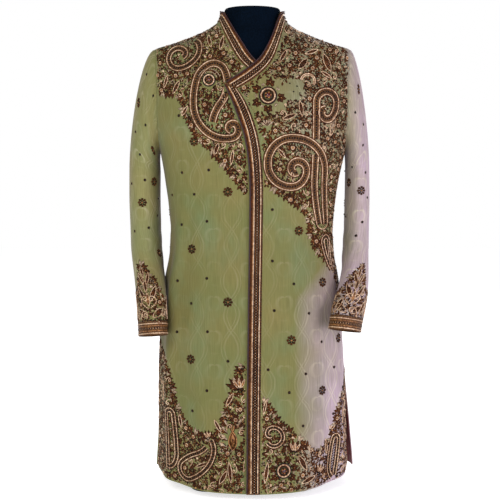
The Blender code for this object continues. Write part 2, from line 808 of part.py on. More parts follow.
def dress_form(finish, parts):
    """A smooth limbless torso with a flat neck and arm plates, as one closed body."""
    edge = FORM_TOP - FORM_TOP_EDGE
    shoulders = [row for row in body_rows() if row > FORM_CHEST]
    count = FORM_COLUMNS
    rings = []
    for low in FORM_LOWER_EDGE:
        ring = form_ring(FORM_HIP, low.inset, count)
        rings.append([Vector((point.x, point.y, FORM_BOTTOM + low.rise)) for point in ring])
    for z in (*FORM_RINGS, *shoulders, FORM_NECK_RING, edge):
        rings.append(form_ring(z, form_clearance(z), count))
    top = form_ring(edge, FORM_NECK_CLEARANCE + FORM_TOP_EDGE, count)
    rings.append([Vector((point.x, point.y, FORM_TOP)) for point in top])
    mesh = bmesh.new()
    verts = [[mesh.verts.new(point) for point in ring] for ring in rings]
    for low, high in zip(verts, verts[1:]):
        for left in range(count):
            right = (left + 1) % count
            mesh.faces.new((low[left], low[right], high[right]))
            mesh.faces.new((low[left], high[right], high[left]))
    mesh.faces.new(verts[0][::-1])
    mesh.faces.new(verts[-1])
    return finished("dress_form", mesh, finish, parts)


def stand_pole(finish, parts):
    """The short pole between the base plate and the form."""
    low, high = PLATE_THICKNESS + SEAM_GAP, FORM_BOTTOM - SEAM_GAP
    bpy.ops.mesh.primitive_cylinder_add(
        vertices=24, radius=POLE_RADIUS, depth=high - low, location=(0, 0, (low + high) / 2)
    )
    return adopt(bpy.context.object, "stand_pole", finish, parts)


def base_plate(finish, parts):
    """A flat steel plate with rounded corners, small enough to hide inside the skirt."""
    bpy.ops.mesh.primitive_cube_add(size=1, location=(0, 0, PLATE_THICKNESS / 2))
    plate = bpy.context.object
    plate.scale = (PLATE_LENGTH, PLATE_DEPTH, PLATE_THICKNESS)
    bpy.ops.object.transform_apply(location=False, rotation=False, scale=True)
    mesh = bmesh.new()
    mesh.from_mesh(plate.data)
    upright = [edge for edge in mesh.edges if abs(edge.verts[0].co.z - edge.verts[1].co.z) > 0.001]
    bmesh.ops.bevel(
        mesh, geom=upright, offset=PLATE_CORNER, segments=5, profile=0.5, affect="EDGES"
    )
    rim = [
        edge for edge in mesh.edges
        if all(vert.co.z > PLATE_THICKNESS / 2 - 0.0001 for vert in edge.verts)
    ]
    bmesh.ops.bevel(mesh, geom=rim, offset=PLATE_EDGE, segments=1, profile=0.5, affect="EDGES")
    mesh.to_mesh(plate.data)
    mesh.free()
    return adopt(plate, "base_plate", finish, parts)


def adopt(made, name, finish, parts):
    """Names a primitive, gives it its material and moves it to the parts' collection."""
    made.name = name
    made.data.name = name
    made.data.materials.append(finish)
    made.data.shade_smooth()
    made.data.set_sharp_from_angle(angle=math.radians(40))
    for holder in list(made.users_collection):
        holder.objects.unlink(made)
    parts.objects.link(made)
    return made


def build():
    """Builds the coat, then the form and stand that hold it."""
    clear_scene()
    parts = make_collection("sherwani_coat")
    brocade = material("brocade", BROCADE)
    border = material("embroidered_border", BORDER)
    lining = material("lining", LINING)
    cover = material("form_cover", FORM_COVER)
    steel = material("stand_steel", STEEL)
    left_front(brocade, parts)
    right_front(brocade, parts)
    back(brocade, parts)
    back_lining(lining, parts)
    collar(border, parts)
    front_border(border, parts)
    sleeve("left_sleeve", LEFT_SLEEVE, 1, brocade, parts)
    sleeve("right_sleeve", RIGHT_SLEEVE, -1, brocade, parts)
    cuff("left_cuff", LEFT_SLEEVE, 1, border, parts)
    cuff("right_cuff", RIGHT_SLEEVE, -1, border, parts)
    dress_form(cover, parts)
    stand_pole(steel, parts)
    base_plate(steel, parts)


build()
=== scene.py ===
# %% [markdown]
# # A sherwani coat on a dress form
# A sherwani is a long formal coat. This one is olive silk brocade, with a band of corded
# embroidery at its crossed edge, paisleys on the chest and flowers along the lower skirt.
# The frame that is loaded here holds the solid pieces of the coat. Each of them gets a finer
# copy with creases, and needlework that is laid on it bead by bead.

# %% Open the frame
import math
import bpy
import numpy as np
from collections import namedtuple
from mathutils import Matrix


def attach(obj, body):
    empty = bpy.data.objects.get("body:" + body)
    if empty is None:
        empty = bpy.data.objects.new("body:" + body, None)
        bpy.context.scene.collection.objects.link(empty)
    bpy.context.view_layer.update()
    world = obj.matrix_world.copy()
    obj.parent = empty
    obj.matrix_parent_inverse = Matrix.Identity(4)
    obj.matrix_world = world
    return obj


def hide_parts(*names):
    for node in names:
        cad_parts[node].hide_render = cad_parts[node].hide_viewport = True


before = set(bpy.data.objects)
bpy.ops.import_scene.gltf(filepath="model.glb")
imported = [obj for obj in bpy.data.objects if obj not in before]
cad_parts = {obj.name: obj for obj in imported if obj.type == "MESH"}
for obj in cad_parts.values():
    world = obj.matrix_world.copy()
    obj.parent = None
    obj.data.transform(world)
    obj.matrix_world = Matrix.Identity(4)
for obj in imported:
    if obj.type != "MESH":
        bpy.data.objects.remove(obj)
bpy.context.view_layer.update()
print("pieces in the frame:", ", ".join(sorted(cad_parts)))

# %% [markdown]
# ## Camera
# A long lens from the front, a little above the waist, keeps the coat's edges almost straight.
# The camera looks down by a few degrees, and a small shift brings hem and collar into the frame.

# %% Camera
EYE = (-0.0035, -2.2, 0.74)
EYE_PITCH = math.radians(87.5)
LENS = 68.0
SHIFT_UP = -0.0903


def add_camera():
    """The camera at the photograph's viewing angle."""
    lens = bpy.data.cameras.new("studio_camera")
    lens.lens = LENS
    lens.shift_y = SHIFT_UP
    holder = bpy.data.objects.new("studio_camera", lens)
    holder.location = EYE
    holder.rotation_euler = (EYE_PITCH, 0, 0)
    bpy.context.scene.collection.objects.link(holder)
    bpy.context.scene.camera = holder
    bpy.context.scene.view_settings.view_transform = "Standard"
    return holder


print("camera at", tuple(add_camera().location))

# %% [markdown]
# ## Shader maths
# A node tree for a weave has dozens of Math nodes. Wrapping a socket in a small class lets
# the weave be written as a formula, and each operator adds the node that it stands for.

# %% Sockets as numbers
class Signal:
    """A number that changes over a surface, so that sums on it become Math nodes."""

    def __init__(self, paint, socket):
        self.paint = paint
        self.socket = socket

    def math(self, operation, *others):
        node = self.paint.add("ShaderNodeMath", {"operation": operation}, [self, *others])
        return Signal(self.paint, node.outputs[0])

    def __rsub__(self, other):
        return self.math("MULTIPLY_ADD", -1.0, other)

    def held(self):
        node = self.paint.add("ShaderNodeClamp", {}, [self])
        return Signal(self.paint, node.outputs[0])

    def near(self, level, width):
        """1 where the signal is at a level, falling to 0 a width away."""
        return (1.0 - (self - level).size() / width).held()


def math_method(operation):
    """A method that adds the Math node of one operation."""
    return lambda self, *others: self.math(operation, *others)


for method, operation in (
    ("__add__", "ADD"), ("__radd__", "ADD"), ("__sub__", "SUBTRACT"), ("__mul__", "MULTIPLY"),
    ("__rmul__", "MULTIPLY"), ("__truediv__", "DIVIDE"), ("sine", "SINE"), ("size", "ABSOLUTE"),
    ("to", "POWER"), ("most", "MAXIMUM"), ("wrapped", "FRACT"),
):
    setattr(Signal, method, math_method(operation))


class Paint:
    """A procedural material whose nodes are all added by one method."""

    def __init__(self, name, roughness, **finish):
        self.made = bpy.data.materials.new(name)
        self.made.use_nodes = True
        self.tree = self.made.node_tree
        self.shader = self.tree.nodes["Principled BSDF"]
        self.shader.inputs["Roughness"].default_value = roughness
        for words, value in finish.items():
            socket = words.replace("_", " ").title().replace("Ior", "IOR")
            self.shader.inputs[socket].default_value = value

    def join(self, slot, value):
        if isinstance(value, Signal):
            value = value.socket
        if isinstance(value, bpy.types.NodeSocket):
            self.tree.links.new(value, slot)
        else:
            slot.default_value = value

    def add(self, kind, settings, inputs):
        """Adds a node: its settings first, then its inputs, by name or in order."""
        node = self.tree.nodes.new(kind)
        for words, value in settings.items():
            setattr(node, words, value)
        named = inputs.items() if isinstance(inputs, dict) else enumerate(inputs)
        for slot, value in named:
            self.join(node.inputs[slot], value)
        return node

    def cloth_map(self):
        """Metres across and up the cloth, from the piece's own UV map."""
        node = self.add("ShaderNodeUVMap", {"uv_map": "cloth"}, [])
        split = self.add("ShaderNodeSeparateXYZ", {}, [node.outputs[0]])
        return Signal(self, split.outputs[0]), Signal(self, split.outputs[1])

    def place(self):
        return self.add("ShaderNodeTexCoord", {}, []).outputs["Object"]

    def place_parts(self):
        split = self.add("ShaderNodeSeparateXYZ", {}, [self.place()])
        return [Signal(self, socket) for socket in split.outputs]

    def noise(self, vector, scale, detail=3.0, roughness=0.55):
        inputs = {"Vector": vector, "Scale": scale, "Detail": detail, "Roughness": roughness}
        return Signal(self, self.add("ShaderNodeTexNoise", {}, inputs).outputs["Fac"])

    def vector(self, x, y, z=0.0):
        return self.add("ShaderNodeCombineXYZ", {}, [x, y, z]).outputs[0]

    def blend(self, share, low, high):
        """A colour between two, as far as the share says."""
        settings = {"data_type": "RGBA", "blend_type": "MIX"}
        node = self.add("ShaderNodeMix", settings, {0: share, 6: low, 7: high})
        return node.outputs[2]

    def finish(self, colour, roughness=None, bump=None, depth=0.0002, strength=0.6):
        self.join(self.shader.inputs["Base Color"], colour)
        if roughness is not None:
            self.join(self.shader.inputs["Roughness"], roughness)
        if bump is not None:
            inputs = {"Strength": strength, "Distance": depth, "Height": bump}
            node = self.add("ShaderNodeBump", {}, inputs)
            self.join(self.shader.inputs["Normal"], node.outputs[0])
        return self.made


def rgb(red, green, blue):
    """A display colour, 0 to 255, as the linear colour that shaders use."""
    parts = [value / 255 for value in (red, green, blue)]
    return (*[p / 12.92 if p < 0.04 else ((p + 0.055) / 1.055) ** 2.4 for p in parts], 1.0)


print("shader maths ready")

# %% [markdown]
# ## Brocade
# Brocade is silk with a pattern woven into it, so the pattern shows by its shine more than by
# its colour. Here it is an ogee trellis with a scroll in each opening. Slubs, the thick places in
# the thread, run down the cloth as fine streaks, and the threads themselves are a small bump. A
# lilac sheen is painted into the colour on the front of the wearer's left side, and a little on the
# chest, where the light rakes across the cloth. The sleeves are painted paler, with a brighter
# pattern, for the light that they catch.

# %% Brocade
TRELLIS_WIDTH = 0.078
TRELLIS_HEIGHT = 0.150
TRELLIS_SWING = 0.21
SCROLL_TURN = 2.2


def trellis(paint, across, up):
    """The woven pattern: wavy bands that meet and part, and a scroll in each opening."""
    column = across / TRELLIS_WIDTH
    row = up / TRELLIS_HEIGHT
    swing = (row * (2 * math.pi)).sine() * TRELLIS_SWING
    lines = (column + swing).wrapped().near(0.5, 0.034)
    lines = lines.most((column - swing).wrapped().near(0.5, 0.034))
    lines = lines.most((column + swing).wrapped().near(0.41, 0.018))
    lines = lines.most((column - swing).wrapped().near(0.59, 0.018))
    u = ((column + 0.5).wrapped() - 0.5) * TRELLIS_WIDTH
    v = ((row * 2.0 + 0.5).wrapped() - 0.5) * (TRELLIS_HEIGHT / 2)
    reach = (u * u + v * v).to(0.5)
    angle = v.math("ARCTAN2", u.size())
    scroll = (reach * 150.0 + angle * SCROLL_TURN).sine().near(1.0, 0.55)
    scroll = scroll * (1.0 - reach / 0.030).held().to(0.5)
    return lines.most(scroll)


def painted_lilac_sheen(paint):
    """Share of painted lilac sheen: most on the front of the wearer's left side, a little on the
    chest.
    """
    x, y, z = paint.place_parts()
    low = ((0.56 - z) / 0.12).held()
    lit = ((x - 0.200 + low * 0.106) / (0.046 + low * 0.034)).held()
    chest = ((x - 0.02) / 0.10).held() * ((z - 0.70) / 0.10).held() * 0.20
    lit = lit.most(chest)
    drift = (paint.noise(paint.place(), 9.0, 2.0) * 1.4 + 0.15).held()
    return lit * ((0.07 - y) / 0.08).held() * drift * 0.92


def painted_sleeve_light(paint):
    """1 on the sleeves, which are painted paler, with a brighter pattern, for the light that they
    catch, and 0 on the body.
    """
    x, y, z = paint.place_parts()
    return ((x.size() - 0.205) / 0.03).held() * ((z - 0.42) / 0.08).held()


def brocade():
    """Olive silk with its woven trellis, slubs and thread bump."""
    paint = Paint(
        "olive_brocade", 0.5, sheen_weight=0.22, sheen_roughness=0.45,
        sheen_tint=rgb(205, 176, 214), specular_ior_level=0.20,
    )
    across, up = paint.cloth_map()
    wander = paint.noise(paint.vector(across, up), 14.0) * 0.012
    pattern = trellis(paint, across + wander, up + wander)
    slubs = paint.noise(paint.vector(across * 620.0, up * 22.0), 1.0, 4.0)
    patches = paint.noise(paint.vector(across, up), 7.0, 2.0)
    warmth = paint.noise(paint.vector(across, up * 0.6, 3.0), 13.0)
    tone = paint.blend(((patches - 0.35) * 2.6).held(), rgb(104, 108, 60), rgb(121, 112, 64))
    tone = paint.blend(((warmth - 0.48) * 3.0).held() * 0.7, tone, rgb(99, 121, 84))
    # Painted light: the sleeves are painted paler, for the light that they catch.
    sleeve_light_share = painted_sleeve_light(paint)
    tone = paint.blend(sleeve_light_share * 0.35, tone, rgb(150, 148, 98))
    # Painted sheen: a lilac patch where the light rakes across the silk, on the front of the
    # wearer's left side and the chest.
    lilac_sheen_share = painted_lilac_sheen(paint)
    tone = paint.blend(lilac_sheen_share, tone, rgb(176, 157, 168))
    worn = ((paint.noise(paint.vector(across, up, 8.0), 11.0, 2.0) - 0.38) * 3.4).held()
    # The woven pattern's pale lines, with a painted sheen that makes them brighter on the sleeves
    # and in the lilac patch.
    pattern_and_painted_sheen = pattern * (worn * (0.11 + sleeve_light_share * 0.23) + lilac_sheen_share * 0.50 + 0.02)
    tone = paint.blend(pattern_and_painted_sheen, tone, rgb(200, 193, 164))
    tone = paint.blend(((slubs - 0.38) * 2.4).held() * 0.52, tone, rgb(80, 75, 34))
    threads = (across * 5200.0).sine() * 0.5 + (up * 4200.0).sine() * 0.5
    bump = threads * 0.25 + slubs * 0.6 + pattern * 0.10
    return paint.finish(tone, 0.60 - pattern * 0.08 + slubs * 0.1, bump, 0.00035, 0.5)


BROCADE = brocade()
print("brocade nodes:", len(BROCADE.node_tree.nodes))

# %% [markdown]
# ## Threads, beads and the plainer cloths
# The needlework has few finishes: pale twisted cord, brown couching thread, dark glass beads,
# copper beads, grey silk, and red stones. Every one varies a little from place to place, because
# hand work does, and each has a bump as fine as its own stitches.

# %% Thread and bead finishes
def thread(name, light, dark, roughness, stitch, **finish):
    """A thread or bead finish: two tones in patches, with a bump of a given stitch length."""
    paint = Paint(name, roughness, **finish)
    place = paint.place()
    tone = paint.noise(place, 260.0, 2.0)
    drift = paint.noise(place, 19.0, 2.0)
    share = ((tone - 0.38) * 3.2).held() * 0.7 + ((drift - 0.4) * 3.0).held() * 0.3
    settings = {"wave_type": "BANDS", "bands_direction": "DIAGONAL"}
    wave = paint.add("ShaderNodeTexWave", settings, {"Vector": place, "Scale": stitch})
    twist = Signal(paint, wave.outputs["Fac"])
    colour = paint.blend(share, rgb(*dark), rgb(*light))
    gloss = (tone * 0.3 + (roughness - 0.15)).held()
    return paint.finish(colour, gloss, twist, 0.0003, 0.5)


CORD = thread("pale_cord", (246, 220, 184), (134, 90, 54), 0.42, 260.0, metallic=0.1)
BROWN = thread("brown_couching", (96, 50, 14), (32, 13, 2), 0.62, 300.0, specular_ior_level=0.15)
DARK = thread("dark_glass_bead", (36, 20, 10), (9, 4, 2), 0.30, 90.0, specular_ior_level=0.25)
COPPER = thread("copper_bead", (206, 150, 90), (104, 58, 24), 0.34, 120.0, metallic=0.4)
SILK = thread("grey_silk", (202, 182, 152), (108, 86, 60), 0.50, 320.0)
STONE = thread("red_stone", (110, 14, 22), (36, 4, 8), 0.18, 60.0, coat_weight=0.6)
PIPING = thread("maroon_piping", (60, 10, 18), (26, 3, 8), 0.50, 400.0)
GROUND = thread("couched_ground", (118, 82, 44), (58, 34, 16), 0.62, 340.0, specular_ior_level=0.2)
LINING = thread("maroon_lining", (120, 6, 18), (78, 2, 10), 0.50, 700.0, specular_ior_level=0.15)
COVER = thread("navy_form_cover", (4, 15, 28), (1, 7, 16), 0.90, 500.0, specular_ior_level=0.04)
STEEL = thread("painted_steel", (62, 62, 66), (48, 48, 52), 0.40, 40.0, metallic=0.8)
THREADS = (CORD, BROWN, DARK, COPPER, SILK, STONE, PIPING, GROUND)
print("finishes:", ", ".join(finish.name for finish in THREADS))

# %% [markdown]
# ## The coat's surface
# All the cloth pieces lie on one surface round the body, so that they meet at their seams. A
# point of it has a place round the body and a height: place -1 is the wearer's right side, 0 the
# centre front, 1 the left side and 2 the centre back. The tables are the ones that the solids were
# made from. Here they are read by functions that take whole arrays, because the finer copies
# need many thousands of points.

# %% Sizes of the cloth
WALL = 0.0020
BORDER_EXTRA = 0.0006
LINING_WALL = 0.0010
SEAM_GAP = 0.0003
MITRE_GAP = 0.00042
LAP_LIFT = 0.0028
LAP_SIDE_FROM = 0.092
LAP_SIDE_FADE = 0.045
LAP_TOP_FROM = 0.985
LAP_TOP_FADE = 0.035
HEM_SIDE = 0.040
HEM_DIP_FRONT = 0.025
HEM_BACK = 0.031
HEM_FADE = 0.110
HEM_CORNER = 0.010
SLIT_TOP = 0.312
LINING_TOP = 0.350
UNDERARM = 0.765
SHOULDER_POINT = 1.004
NECK_SEAM = 1.064
ARMHOLE_MIDDLE = (UNDERARM + SHOULDER_POINT) / 2
ARMHOLE_HALF_HEIGHT = (SHOULDER_POINT - UNDERARM) / 2
ARMHOLE_HALF_DEPTH = 0.066
ARMHOLE_TAPER = 0.14
FLARE_LEFT = 0.015
FLARE_RIGHT = 0.005
FLARE_REACH = 0.26
FLARE_HASTE = 1.1
UNDERLAP_TOP = 0.9310

Section = namedtuple("Section", "z half_width front back roundness shift")
SECTIONS = [Section(*row) for row in (
    (0.010, 0.2235, 0.160, 0.152, 2.20, 0.003),
    (0.040, 0.2225, 0.158, 0.150, 2.20, 0.003),
    (0.110, 0.2195, 0.154, 0.148, 2.25, 0.003),
    (0.180, 0.2190, 0.151, 0.146, 2.25, 0.002),
    (0.255, 0.2175, 0.147, 0.144, 2.30, 0.001),
    (0.333, 0.2140, 0.142, 0.140, 2.30, 0.000),
    (0.400, 0.2090, 0.137, 0.136, 2.30, 0.000),
    (0.467, 0.2030, 0.131, 0.130, 2.30, 0.000),
    (0.537, 0.1905, 0.122, 0.120, 2.35, 0.000),
    (0.591, 0.1885, 0.118, 0.113, 2.35, 0.000),
    (0.636, 0.1915, 0.120, 0.114, 2.35, 0.000),
    (0.690, 0.1985, 0.127, 0.121, 2.35, 0.000),
    (0.722, 0.2040, 0.130, 0.126, 2.35, 0.001),
    (0.765, 0.2130, 0.134, 0.130, 2.35, 0.002),
    (0.800, 0.2230, 0.135, 0.132, 2.38, 0.002),
    (0.850, 0.2340, 0.133, 0.132, 2.40, 0.002),
    (0.900, 0.2375, 0.124, 0.127, 2.40, 0.002),
    (0.940, 0.2385, 0.110, 0.118, 2.35, 0.002),
    (0.970, 0.2350, 0.097, 0.106, 2.25, 0.002),
    (0.990, 0.2300, 0.089, 0.097, 2.10, 0.002),
    (1.004, 0.2235, 0.084, 0.091, 1.95, 0.002),
    (1.012, 0.1960, 0.081, 0.087, 1.85, 0.002),
    (1.027, 0.1530, 0.0765, 0.080, 1.70, 0.002),
    (1.036, 0.1310, 0.0745, 0.076, 1.65, 0.002),
    (1.046, 0.1085, 0.0720, 0.072, 1.70, 0.002),
    (1.057, 0.0905, 0.0700, 0.069, 1.85, 0.002),
    (1.066, 0.0800, 0.0685, 0.066, 2.00, 0.002),
    (1.082, 0.0735, 0.0665, 0.063, 2.05, 0.002),
    (1.110, 0.0710, 0.0655, 0.061, 2.05, 0.002),
)]
Edge = namedtuple("Edge", "z x")
FRONT_EDGE = [Edge(*row) for row in (
    (0.000, -0.0115), (0.150, -0.0103), (0.300, -0.0090), (0.450, -0.0070),
    (0.600, -0.0048), (0.680, -0.0042), (0.722, -0.0055), (0.765, -0.0095),
    (0.803, -0.0165), (0.835, -0.0265), (0.870, -0.0400), (0.895, -0.0510),
    (0.9147, -0.0606),
)]
BORDER_INNER = [Edge(*row) for row in (
    (0.000, 0.0180), (0.150, 0.0192), (0.300, 0.0205), (0.450, 0.0225),
    (0.600, 0.0247), (0.680, 0.0253), (0.722, 0.0240), (0.765, 0.0203),
    (0.803, 0.0137), (0.835, 0.0042), (0.870, -0.0100), (0.895, -0.0250),
    (0.9037, -0.0310),
)]
UNDERLAP = [Edge(*row) for row in (
    (0.000, 0.0620), (0.600, 0.0640), (0.835, 0.0600), (0.880, 0.0520),
    (0.9037, 0.0420), (0.9147, 0.0330), (0.9310, 0.0130),
)]
Station = namedtuple("Station", "z seam_x free_x free_z")
COLLAR_LEFT = [Station(*row) for row in (
    (0.9037, -0.0310, -0.0606, 0.9147),
    (0.9100, -0.0185, -0.0343, 0.9318),
    (0.9280, 0.0084, -0.0083, 0.9500),
    (0.9536, 0.0361, 0.0163, 0.9720),
    (0.9755, 0.0500, 0.0278, 0.9890),
    (1.0025, 0.0595, 0.0397, 1.0128),
    (1.0310, 0.0680, 0.0515, 1.0440),
    (1.0515, 0.0735, 0.0600, 1.0690),
    (NECK_SEAM, 0.0770, 0.0690, 1.0870),
)]
COLLAR_RIGHT = [Station(*row) for row in (
    (0.9310, 0.0130, 0.0290, 0.9490),
    (0.9505, -0.0090, 0.0108, 0.9670),
    (0.9680, -0.0270, -0.0050, 0.9850),
    (0.9955, -0.0440, -0.0198, 1.0090),
    (1.0225, -0.0568, -0.0348, 1.0347),
    (1.0420, -0.0650, -0.0475, 1.0580),
    (NECK_SEAM, -0.0735, -0.0630, 1.0850),
)]
COLLAR_FREE_SIDE = 1.0915
COLLAR_FREE_BACK = 1.0985
print("sections:", len(SECTIONS))

# %% Curves through a table
def mix(low, high, share):
    """The value that lies share of the way from low to high."""
    return low + (high - low) * share


def unit(vectors):
    """The same directions, each with a length of 1."""
    return vectors / np.linalg.norm(vectors, axis=-1, keepdims=True)


def ease(share):
    """0 to 1 with soft ends."""
    held = np.clip(share, 0.0, 1.0)
    return held * held * (3 - 2 * held)


def smooth_curve(knots, values):
    """A function of arrays that runs through the points, smooth and without overshoot."""
    knots, values = np.array(knots, float), np.array(values, float)
    steps = np.diff(knots)
    rises = np.diff(values) / steps
    product = rises[:-1] * rises[1:]
    total = np.where(product > 0, rises[:-1] + rises[1:], 1.0)
    middle = np.where(product > 0, 2 * product / total, 0.0)
    slopes = np.concatenate([rises[:1], middle, rises[-1:]])

    def at(position):
        held = np.clip(position, knots[0], knots[-1])
        index = np.searchsorted(knots[1:-1], held, side="right")
        step = steps[index]
        t = (held - knots[index]) / step
        start, end = values[index], values[index + 1]
        bend = (2 * t**3 - 3 * t**2 + 1) * start + (3 * t**2 - 2 * t**3) * end
        lean = (t**3 - 2 * t**2 + t) * slopes[index] + (t**3 - t**2) * slopes[index + 1]
        return bend + lean * step

    return at


def column(table, name, knots="z"):
    """A smooth function of one named column of a table."""
    pairs = sorted((getattr(row, knots), getattr(row, name)) for row in table)
    return smooth_curve(*zip(*pairs))


def columns_of(table):
    """A smooth function for each column after the first, by its name."""
    return {name: column(table, name) for name in table[0]._fields[1:]}


half_width_at = column(SECTIONS, "half_width")
front_at = column(SECTIONS, "front")
back_at = column(SECTIONS, "back")
roundness_at = column(SECTIONS, "roundness")
shift_at = column(SECTIONS, "shift")
front_edge_at = column(FRONT_EDGE, "x")
border_inner_at = column(BORDER_INNER, "x")
underlap_at = column(UNDERLAP, "x")
left_seam_at = column(COLLAR_LEFT, "seam_x")
right_seam_at = column(COLLAR_RIGHT, "seam_x")
print("half width at the waist:", round(float(half_width_at(0.591)), 4))

# %% [markdown]
# ## Flutes and creases
# Cloth that hangs from the shoulders falls in soft flutes, and it drags where it is held: from the
# armhole, at the waist and beside the stiff border. Each flute and crease is placed one by one,
# with its own length, depth and lean. They belong to the surface, so every layer follows them.

# %% Flutes and creases
Fold = namedtuple("Fold", "place width height bottom top")
FOLDS = [Fold(*row) for row in (
    (-0.64, 0.085, 0.0045, 0.00, 0.72),
    (-0.28, 0.110, 0.0025, 0.00, 0.36),
    (0.34, 0.120, 0.0030, 0.00, 0.48),
    (0.70, 0.100, 0.0045, 0.00, 0.56),
    (1.30, 0.120, 0.0060, 0.00, 0.50),
    (1.66, 0.110, 0.0050, 0.00, 0.44),
    (2.03, 0.090, 0.0040, 0.00, 0.58),
    (2.36, 0.120, 0.0055, 0.00, 0.46),
    (2.72, 0.110, 0.0055, 0.00, 0.52),
)]
FOLD_FADE = 0.22
TROUGH_SHARE = 0.45
TROUGH_AWAY = 1.7

Crease = namedtuple("Crease", "place z length width lean height")
# Lean is in degrees from upright, and height is in metres, less than 0 for a trough
CREASES = [Crease(*row) for row in (
    (-0.60, 0.560, 0.110, 0.012, 6, 0.0020),
    (-0.70, 0.440, 0.120, 0.010, -4, 0.0016),
    (-0.52, 0.350, 0.080, 0.010, 9, -0.0014),
    (-0.42, 0.620, 0.045, 0.008, 62, -0.0011),
    (-0.83, 0.600, 0.050, 0.009, 70, -0.0014),
    (-0.34, 0.250, 0.090, 0.012, -6, 0.0015),
    (-0.16, 0.470, 0.070, 0.010, 12, 0.0010),
    (0.20, 0.365, 0.022, 0.006, 78, -0.0013),
    (0.22, 0.330, 0.028, 0.006, 84, -0.0012),
    (0.26, 0.560, 0.040, 0.008, 74, -0.0009),
    (0.45, 0.420, 0.100, 0.011, -5, 0.0013),
    (0.62, 0.300, 0.120, 0.013, 4, 0.0018),
    (0.80, 0.590, 0.050, 0.009, -72, -0.0014),
    (0.56, 0.520, 0.060, 0.010, -30, -0.0010),
    (1.32, 0.600, 0.060, 0.010, 68, -0.0015),
    (1.52, 0.660, 0.080, 0.012, 40, -0.0012),
    (1.90, 0.580, 0.050, 0.010, 82, -0.0016),
    (2.14, 0.610, 0.060, 0.009, -76, -0.0013),
    (2.50, 0.680, 0.080, 0.012, -44, -0.0012),
    (2.70, 0.590, 0.055, 0.010, -70, -0.0015),
    (1.74, 0.380, 0.110, 0.013, 5, 0.0017),
    (2.22, 0.330, 0.120, 0.012, -6, 0.0019),
)]
CREASE_SPAN = 0.20


def mound(mark, across, up):
    """Height of a long leaning mark at a distance across and up from its middle."""
    turn = math.radians(mark.lean)
    along = up * math.cos(turn) + across * math.sin(turn)
    aside = across * math.cos(turn) - up * math.sin(turn)
    return mark.height * np.exp(-((along / mark.length) ** 2 + (aside / mark.width) ** 2))


def ridges(place, z):
    """How far the flutes and creases push the cloth out."""
    total = np.zeros(np.broadcast(place, z).shape)
    for fold in FOLDS:
        away = np.abs(place - fold.place)
        away = np.minimum(away, 4 - away) / fold.width
        fade = ease((fold.top - z) / FOLD_FADE) * ease((z - fold.bottom + FOLD_FADE) / FOLD_FADE)
        trough = TROUGH_SHARE * np.exp(-((away - TROUGH_AWAY) ** 2))
        total = total + fold.height * fade * (np.exp(-away * away) - trough)
    for crease in CREASES:
        total = total + mound(crease, (place - crease.place) * CREASE_SPAN, z - crease.z)
    return total


def section_point(place, z):
    """The plain section, before folds, as x, y and z."""
    place, z = np.broadcast_arrays((np.asarray(place, float) + 1) % 4 - 1, np.asarray(z, float))
    in_front = place <= 1
    angle = np.where(in_front, place, 2 - place) * math.pi / 2
    power = 2 / roundness_at(z)
    x = np.copysign(np.abs(np.sin(angle)) ** power, np.sin(angle)) * half_width_at(z)
    depth = np.abs(np.cos(angle)) ** power
    y = np.where(in_front, -front_at(z) * depth, back_at(z) * depth)
    return np.stack([shift_at(z) + x, y, z], axis=-1)


def body_point(place, z):
    """A point of the coat's outer surface."""
    place = (np.asarray(place, float) + 1) % 4 - 1
    along = section_point(place + 0.01, z) - section_point(place - 0.01, z)
    out = unit(np.stack([along[..., 1], -along[..., 0], 0 * along[..., 0]], axis=-1))
    return section_point(place, z) + out * ridges(place, z)[..., None]


def body_surface(place, z):
    """Points of the outer surface and its normals, away from the body."""
    across = body_point(place + 0.01, z) - body_point(place - 0.01, z)
    upward = body_point(place, z + 0.001) - body_point(place, z - 0.001)
    return body_point(place, z), unit(np.cross(across, upward))


def place_of(x, z):
    """The place on the front of the point with this x."""
    share = np.clip((x - shift_at(z)) / half_width_at(z), -1.0, 1.0)
    angle = np.arcsin(np.abs(share) ** (roundness_at(z) / 2))
    return np.copysign(angle * 2 / math.pi, share)


def moved_along(place, z, distance):
    """The place this far round the section, in metres."""
    span = section_point(place + 0.01, z) - section_point(place - 0.01, z)
    return place + distance / (np.linalg.norm(span, axis=-1) / 0.02)


print("depth at the chest:", np.round(body_point(0.0, 0.85), 4))

# %% Edges of the panels
def armhole_depth(z):
    """Half the armhole's depth, front to back, at this height."""
    height = np.clip((z - ARMHOLE_MIDDLE) / ARMHOLE_HALF_HEIGHT, -1, 1)
    return ARMHOLE_HALF_DEPTH * np.sqrt(1 - height * height) * (1 - ARMHOLE_TAPER * height)


def side_edge(z, depth_at=front_at, sign=-1):
    """Place of a panel's side edge: side seam, armhole, then shoulder seam."""
    share = armhole_depth(z) / depth_at(z)
    in_armhole = np.arccos(np.clip(share, 0, 1) ** (roundness_at(z) / 2)) * 2 / math.pi
    plain = moved_along(1.0, z, sign * SEAM_GAP / 2)
    round_it = (z > UNDERARM) & (z < SHOULDER_POINT)
    return np.where(round_it, in_armhole if sign < 0 else 2 - in_armhole, plain)


def front_hem(place):
    """Height of the front hem: it dips at the centre and its slit corners are rounded."""
    edge = ease((np.abs(place) - 0.90) / 0.10)
    dip = np.maximum(0.0, np.cos(place * math.pi / 2)) ** 1.2
    return HEM_SIDE - HEM_DIP_FRONT * dip + HEM_CORNER * edge * edge


def back_hem(place):
    """Height of the back hem, which is level."""
    return HEM_BACK + 0 * place


def row_height(row, place, hem):
    """A row's height at a place: the lowest rows follow the hem."""
    return row + (hem(place) - HEM_SIDE) * (1 - ease((row - HEM_SIDE) / HEM_FADE))


